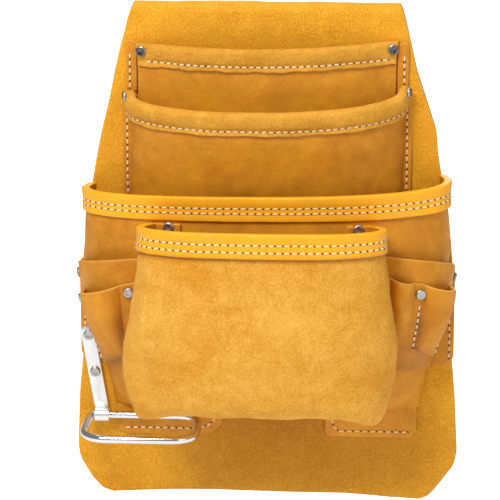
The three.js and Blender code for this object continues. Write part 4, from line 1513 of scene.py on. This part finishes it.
@dataclass
class FrontPouch:
    """The suede pouch in front, with its smooth band and inward strips."""

    main: MainFace
    hem: Hem = Hem(0.7, 0.35, (0.57, 0.79), inner_steps=26, body_steps=60)
    # The dent at level 1.03 paints a thin shadow line under the band's raw edge.
    relief: Relief = Relief(0.8, 30.0, (
        Dent(-0.43, 2.6, 0.035, 1.6, 1.0), Dent(-0.62, 4.75, 0.16, 1.3, 3.0),
        Dent(0.58, 2.2, 0.06, 1.6, 0.9), Dent(0.0, 1.03, 2.0, 0.1, 0.0, painted_shade=0.6),
        Dent(-0.15, 3.2, 0.28, 2.2, 0.9), Dent(0.2, 5.6, 0.25, 1.2, 0.7),
        Dent(-0.3, 6.4, 0.2, 0.9, -0.7), Dent(0.34, 3.6, 0.12, 1.5, -0.6),
    ), seed=13.0)
    rivet_share: float = 0.935
    rivet_level: float = 0.3
    face: FrontFace = field(init=False)

    def __post_init__(self) -> None:
        """Makes the face on the main pouch."""
        self.face = FrontFace(self.main, 123, 124, 94, 49, 1, RowTable({
            "drop": (0, 0.125, 0.3, 0.5, 0.66, 0.8, 0.93, 0.985, 1, 1, 1.005),
            "width": (0.82, 0.845, 0.885, 0.935, 0.985, 0.95, 0.872, 0.834, 0.818, 0.805, 0.79),
            "reach": (0.97, 0.98, 1, 1, 0.98, 0.94, 0.88, 0.78, 0.54, 0.24, 0),
            "corner": (4.2, 4.2, 4, 3.7, 3.4, 3.8, 5.5, 7, 7.5, 7.5, 7),
            "point": (0, 0, 0, 0, 0.05, 0.3, 0.8, 1, 0.95, 0.6, 0.2),
            "slack": (1, 0.8, 0.3, 0, 0, 0, 0, 0, 0, 0, 0),
        }))

    def clear(self, places: Array) -> Array:
        """Keeps places just in front of the main pouch."""
        floor = self.main.front_depth(places[:, 0], places[:, 2]) + CURVE_GAP / 2
        places[:, 1] = np.maximum(places[:, 1], floor)
        return places

    def build(self, looks: Finishes, stitching: Stitching) -> None:
        """Makes the pouch, its stitches and its two rivets."""
        stations = self.hem.stations(self.face)
        wall = Wall(self.face, 220, stations, self.relief, self.clear).build()
        seams = self.hem.seam_lines(self.face, 0.83, 41, 4.75, self.relief)
        finish_pouch("front_pouch", "suede_hide", [wall], [looks.suede, looks.band],
                     stitching, seams)
        for side in Side:
            spot = np.array([side.value * self.rivet_share]), np.array([self.rivet_level])
            outward = -self.face.normal(*spot)[0]
            place = self.face.at(*spot)[0] + outward * SEAT_GAP
            name = f"front_pouch_rivet_{side.name.lower()}"
            Rivet().build(name, place, outward, looks.nickel)


@dataclass(frozen=True)
class SideSizes:
    """What differs between the pockets of the two sides.

    Places across are shares that grow outwards. The seams are given by share and first level,
    the rivets by end, share and level; the share after the loops is where painted shade darkens a
    loop.
    """

    rims: tuple[float, float]
    outer: float
    top: tuple[float, float]
    bottom: tuple[float, float]
    loops: tuple[Loop, ...]
    # Painted shade: where shade darkens the loop.
    loop_shade: float
    seams: Line
    rivets: tuple[tuple[str, float, float], ...]


SIDE_SIZES = {
    Side.LEFT: SideSizes(
        (153.5, 168.0), 0.66, (167.5, 180.0), (214.0, 229.0), (Loop(0.2, 0.57, 8.0),), 0.27,
        ((0.95, 0.25), (0.06, 0.3)), (("inner", 0.13, 0.12), ("outer", 0.94, 0.1)),
    ),
    Side.RIGHT: SideSizes(
        (151.0, 169.0), 0.7, (163.0, 175.5), (205.0, 222.0),
        (Loop(0.33, 0.63, 8.0), Loop(0.09, 0.23, 5.0)), 0.42,
        ((0.94, 0.25), (0.37, 0.3)), (("inner", 0.36, 0.14),),
    ),
}


@dataclass
class SidePockets:
    """The tool pocket and pencil pocket of one side."""

    main: MainFace
    side: Side
    edge: float = 120.5
    edge_top: float = 166.0
    seam_edge: float = 117.4
    seam_end: float = 0.97

    def __post_init__(self) -> None:
        """Makes the faces of this side."""
        sizes = SIDE_SIZES[self.side]
        self.tool = ToolFace(self.main, self.side, *sizes.rims)
        self.pencil = PencilFace(self.tool, sizes.outer, sizes.top, sizes.bottom, sizes.loops)
        self.label = self.side.name.lower()
        self.sizes = sizes

    def strip(self) -> BMesh:
        """The flat strip that lies on the panel's edge."""
        sign, low = self.side.value, self.tool.bottom_drop
        drops = np.linspace(self.edge_top, low, 9)
        rim, foot = self.tool.ends(np.array([1.0]))
        levels = np.clip((drops - rim[0]) / (foot[0] - rim[0]), 0, 1)
        seam = self.tool.at(np.full_like(levels, self.across(1.0)), levels)[:, 0] - sign
        outline = [(float(x), float(d)) for x, d in zip(seam, drops)]
        corner = round_corner((self.edge, low), 8.0, 0.0)
        top = round_corner((self.edge, self.edge_top), 3.5, 270.0, 5)
        outer_edge = [(sign * x, d) for x, d in [*corner[::-1], *top[::-1]]]
        return plate_mesh([*outline, *outer_edge], SEAT_GAP)

    def across(self, outward: float) -> float:
        """A share on this side's faces, from one that grows outwards."""
        return outward if self.side is Side.RIGHT else 1 - outward

    def hide(self, bm: BMesh, name: str, looks: Finishes) -> None:
        """Shows and dresses one pocket."""
        dress(make_object(bm, f"{name}_hide", [looks.grain]), "smooth_hide", name)

    def build(self, looks: Finishes, stitching: Stitching) -> None:
        """Makes both pockets, their stitches and their rivets."""
        sign, across = self.side.value, self.across
        # The last dent paints shade at the tool pocket's bottom.
        dents = (
            Dent(across(0.45), 0.35, 0.2, 0.3, 0.7), Dent(across(0.75), 0.6, 0.12, 0.3, -0.5),
            Dent(across(0.4), 1.0, 0.5, 0.3, 0.0, painted_shade=0.45),
        )
        relief = Relief(0.5, 20.0, dents, seed=17.0 + sign)
        stations = cut_stations(1.0, 1 / 76, 1 / 76, 44)
        bm = Wall(self.tool, 70, stations, relief, rest_on_panel).build()
        self.hide(join_meshes([bm, self.strip()]), f"{self.label}_tool_pocket", looks)
        # The last two dents paint shade: on one side of a loop and in the slot at the pencil
        # pocket's bottom.
        dents = (
            Dent(across(0.5), 0.5, 0.06, 0.5, -0.7, 0.2), Dent(across(0.8), 0.4, 0.1, 0.5, 0.5),
            Dent(across(self.sizes.loop_shade), 0.7, 0.08, 0.4, -0.3, painted_shade=0.85),
            Dent(across(0.5), 1.02, 0.35, 0.1, 0.0, painted_shade=0.5),
        )
        relief = Relief(0.3, 12.0, dents, seed=23.0 + sign)
        stations = cut_stations(1.0, 1 / 42, 1 / 42, 36)
        bm = Wall(self.pencil, 100, stations, relief, leave).build()
        self.hide(bm, f"{self.label}_pencil_pocket", looks)
        self.sew(stitching, relief)
        self.fasten(looks)

    def sew(self, stitching: Stitching, relief: Relief) -> None:
        """Stitches of the strip and of the pencil pocket."""
        edge = self.side.value * self.seam_edge
        seams = [strip_seam((edge, self.edge_top + 6), (edge, self.tool.bottom_drop - 5))]
        for outward, start in self.sizes.seams:
            levels = np.linspace(start, self.seam_end, 6)
            line = tuple((self.across(outward), level) for level in levels)
            seams.append(SeamLine(self.pencil, line, LEATHER + 0.1, 4.2, 0.0, relief))
        dress(stitching.build(f"{self.label}_side_stitches", seams), "smooth_hide")

    def fasten(self, looks: Finishes) -> None:
        """Rivets of both pockets."""
        spots = [(f"tool_pocket_rivet_{self.label}", self.tool, 0.86, 0.11)]
        for end, share, level in self.sizes.rivets:
            spots.append((f"pencil_rivet_{self.label}_{end}", self.pencil, share, level))
        for name, face, share, level in spots:
            place, outward = rivet_on(face, self.across(share), level, LEATHER + SEAT_GAP)
            Rivet().build(name, place, outward, looks.nickel)


@dataclass
class HammerHolder:
    """The riveted plate and the wire ring that hangs level in its eye."""

    wire: float = 5.0
    ring_drop: float = 271.0
    ring_left: float = -115.0
    ring_right: float = -43.0
    ring_front: float = 54.0
    rear_radius: float = 4.0
    front_radius: float = 15.0
    plate_width: float = 9.0
    plate_thick: float = 1.6
    plate_top: float = 212.0
    top_across: float = -116.0
    foot_across: float = -107.0
    plate_back: float = 2.8
    rivet_drops: tuple[float, float] = (217.5, 242.5)

    @property
    def ring_rear(self) -> float:
        """Depth of the ring's rear wire."""
        return self.plate_back + self.plate_thick + self.wire / 2 + SEAT_GAP

    def ring_path(self) -> Array:
        """The middle line of the ring, as across, depth and drop."""
        left, right, rear = self.ring_left, self.ring_right, self.ring_rear
        front = self.ring_front
        corners = [
            (right - self.front_radius, rear + self.front_radius, self.front_radius, -1),
            (right - self.front_radius, front - self.front_radius, self.front_radius, 0),
            (left + self.front_radius, front - self.front_radius, self.front_radius, 1),
            (left + self.rear_radius, rear + self.rear_radius, self.rear_radius, 2),
        ]
        points = []
        for across, depth, radius, start in corners:
            for turn in np.linspace(start, start + 1, 11) * QUARTER:
                points.append((across + radius * math.cos(turn), depth + radius * math.sin(turn),
                               self.ring_drop))
        return np.array(points)

    def ring(self, looks: Finishes) -> None:
        """Makes the ring as a tube along its line."""
        curve = bpy.data.curves.new("ring_line", "CURVE")
        curve.dimensions = "3D"
        curve.bevel_depth = self.wire / 2 * MM
        curve.bevel_resolution = 6
        path = to_world(self.ring_path())
        spline = curve.splines.new("POLY")
        spline.points.add(len(path) - 1)
        spline.points.foreach_set("co", np.column_stack([path, np.ones(len(path))]).ravel())
        spline.use_cyclic_u = True
        holder = bpy.data.objects.new("ring_line", curve)
        mesh = bpy.data.meshes.new_from_object(holder)
        bm = bmesh.new()
        bm.from_mesh(mesh)
        close_shell(bm)
        bpy.data.objects.remove(holder)
        bpy.data.curves.remove(curve)
        bpy.data.meshes.remove(mesh)
        dress(make_object(bm, "hammer_ring_wire", [looks.chrome], 70), "ring_chrome", "hammer_ring")

    def across_at(self, drop: float) -> float:
        """Where the middle of the slanting plate lies at a drop."""
        share = (drop - self.plate_top) / (self.ring_drop - self.plate_top)
        return self.top_across + (self.foot_across - self.top_across) * share

    def eye(self) -> BMesh:
        """The eye at the plate's foot, which holds the ring's rear wire."""
        inner = self.wire / 2 + SEAT_GAP
        outer = inner + self.plate_thick
        half = self.plate_width / 2
        middle = np.array([[self.foot_across, self.ring_rear, self.ring_drop]])
        middle = Vector(to_world(middle)[0])
        bm = bmesh.new()
        corners = [(-half, inner), (half, inner), (half, outer), (-half, outer)]
        points = [bm.verts.new(middle + Vector((x * MM, 0, r * MM))) for x, r in corners]
        face = bm.faces.new(points)
        bmesh.ops.spin(
            bm, geom=[face], axis=(1, 0, 0), cent=middle, angle=2 * math.pi, steps=32,
            use_merge=True,
        )
        hidden = [f for f in bm.faces if self.crosses(f, middle)]
        bmesh.ops.delete(bm, geom=hidden, context="FACES_ONLY")
        close_shell(bm)
        return bm

    @staticmethod
    def crosses(face: BMFace, middle: Vector) -> bool:
        """Whether a face lies inside the eye's wall, where the turned section began."""
        spoke = face.calc_center_median() - middle
        return len(face.verts) == 4 and abs(spoke.cross(face.normal).x) > 0.9 * spoke.length

    def build(self, looks: Finishes) -> None:
        """Makes the ring, the plate with its eye and the plate's rivets."""
        self.ring(looks)
        half, top, low = self.plate_width / 2, self.plate_top, self.ring_drop
        outline = [
            *[(self.top_across + x, d) for x, d in round_corner((-half, top), 3.0, 180.0, 5)],
            *[(self.top_across + x, d) for x, d in round_corner((half, top), 3.0, 270.0, 5)],
            (self.foot_across + half, low), (self.foot_across - half, low),
        ]
        strip = plate_mesh(outline, self.plate_back, self.plate_thick, 0.35)
        whole = join_meshes([strip, self.eye()])
        piece = make_object(whole, "hammer_plate_strip", [looks.steel], 30)
        dress(piece, "plate_steel", "hammer_plate")
        seat = self.plate_back + self.plate_thick
        for number, drop in enumerate(self.rivet_drops, 1):
            place = np.array([self.across_at(drop), seat, drop])
            name = f"hammer_plate_rivet_{number}"
            Rivet().build(name, place, np.array([0.0, 1.0, 0.0]), looks.nickel)


@dataclass
class Studio:
    """The camera, the lights and the pale floor."""

    target: Place = (0.0, -0.0057, -0.1173)
    distance: float = 1.7
    azimuth: float = 3.0
    elevation: float = 16.0
    lens: float = 191.25
    shift: tuple[float, float] = (-0.034, -0.005)
    floor_height: float = -0.42
    floor_size: float = 12.0
    floor_glow: float = 0.7
    ambient: float = 0.42
    gloss_dimming: float = 0.2
    lights: tuple[tuple[str, Place, float, float], ...] = (
        ("key_light", (-0.6, -1.4, 1.45), 0.7, 33.0),
        ("fill_light", (1.3, -1.5, 0.5), 1.2, 6.0),
        ("top_light", (0.0, 0.1, 1.6), 0.7, 8.0),
        ("rear_light", (0.3, 1.8, 0.8), 1.2, 14.0),
    )

    def light(self, name: str, place: Place, size: float, power: float) -> None:
        """A soft square light that faces the bag."""
        lamp = bpy.data.lights.new(name, "AREA")
        lamp.size = size
        lamp.energy = power
        holder = show(name, lamp)
        holder.location = place
        aim = Vector(self.target) - Vector(place)
        holder.rotation_euler = aim.to_track_quat("-Z", "Y").to_euler()

    def floor(self) -> None:
        """A wide pale floor with a little unevenness, lit so that it looks white."""
        bm = bmesh.new()
        bmesh.ops.create_grid(bm, x_segments=4, y_segments=4, size=self.floor_size)
        bmesh.ops.translate(bm, verts=bm.verts, vec=(0, 0, self.floor_height))
        material, graph, shader, place = start_material("pale_floor")
        seen = graph.add("ShaderNodeLightPath").outputs["Is Camera Ray"]
        tone = graph.noise(place, 3.0, 2.0)
        graph.fill(shader, {
            "Base Color": graph.blend(tone, (0.93, 0.93, 0.93), (0.96, 0.96, 0.96)),
            "Roughness": 0.9,
            "Emission Color": graph.blend(seen, (0.0, 0.0, 0.0), (1.0, 1.0, 1.0)),
            "Emission Strength": self.floor_glow,
        })
        make_object(bm, "floor", [material])

    def camera(self) -> None:
        """A camera at the photograph's viewing angle."""
        lens = bpy.data.cameras.new("photo_camera")
        lens.lens = self.lens
        lens.sensor_width = 36.0
        lens.shift_x, lens.shift_y = self.shift
        turn, rise = math.radians(self.azimuth), math.radians(self.elevation)
        level = math.cos(rise)
        away = Vector((math.sin(turn) * level, -math.cos(turn) * level, math.sin(rise)))
        holder = show("photo_camera", lens)
        holder.location = Vector(self.target) + away * self.distance
        holder.rotation_euler = (-away).to_track_quat("-Z", "Y").to_euler()
        bpy.context.scene.camera = holder

    def room(self) -> None:
        """Pale surroundings that the camera sees as white."""
        world = bpy.data.worlds.new("white_room")
        world.use_nodes = True
        graph = Graph(world.node_tree)
        rays = graph.add("ShaderNodeLightPath").outputs
        seen = graph.math("MULTIPLY_ADD", rays["Is Camera Ray"], 1.0 - self.ambient, self.ambient)
        glow = graph.math("MULTIPLY_ADD", rays["Is Glossy Ray"], -self.gloss_dimming, seen)
        sky = world.node_tree.nodes["Background"]
        graph.fill(sky, {"Color": (1.0, 1.0, 1.0, 1.0), "Strength": glow})
        bpy.context.scene.world = world
        bpy.context.scene.view_settings.view_transform = "Standard"

    def build(self) -> None:
        """Sets up the studio."""
        self.camera()
        self.room()
        for light in self.lights:
            self.light(*light)
        self.floor()


def main() -> None:
    """Builds every sub-assembly in order."""
    logging.basicConfig(level=logging.INFO, format="%(name)s: %(message)s")
    looks = Finishes()
    stitching = Stitching(looks.thread, looks.hole)
    Studio().build()
    BackPanel().build(looks, stitching)
    UpperRearPocket().build(looks, stitching)
    UpperNailPocket().build(looks, stitching)
    pouch = MainPouch()
    pouch.build(looks, stitching)
    FrontPouch(pouch.face).build(looks, stitching)
    for side in Side:
        SidePockets(pouch.face, side).build(looks, stitching)
    HammerHolder().build(looks)
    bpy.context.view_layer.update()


if __name__ == "__main__":
    main()
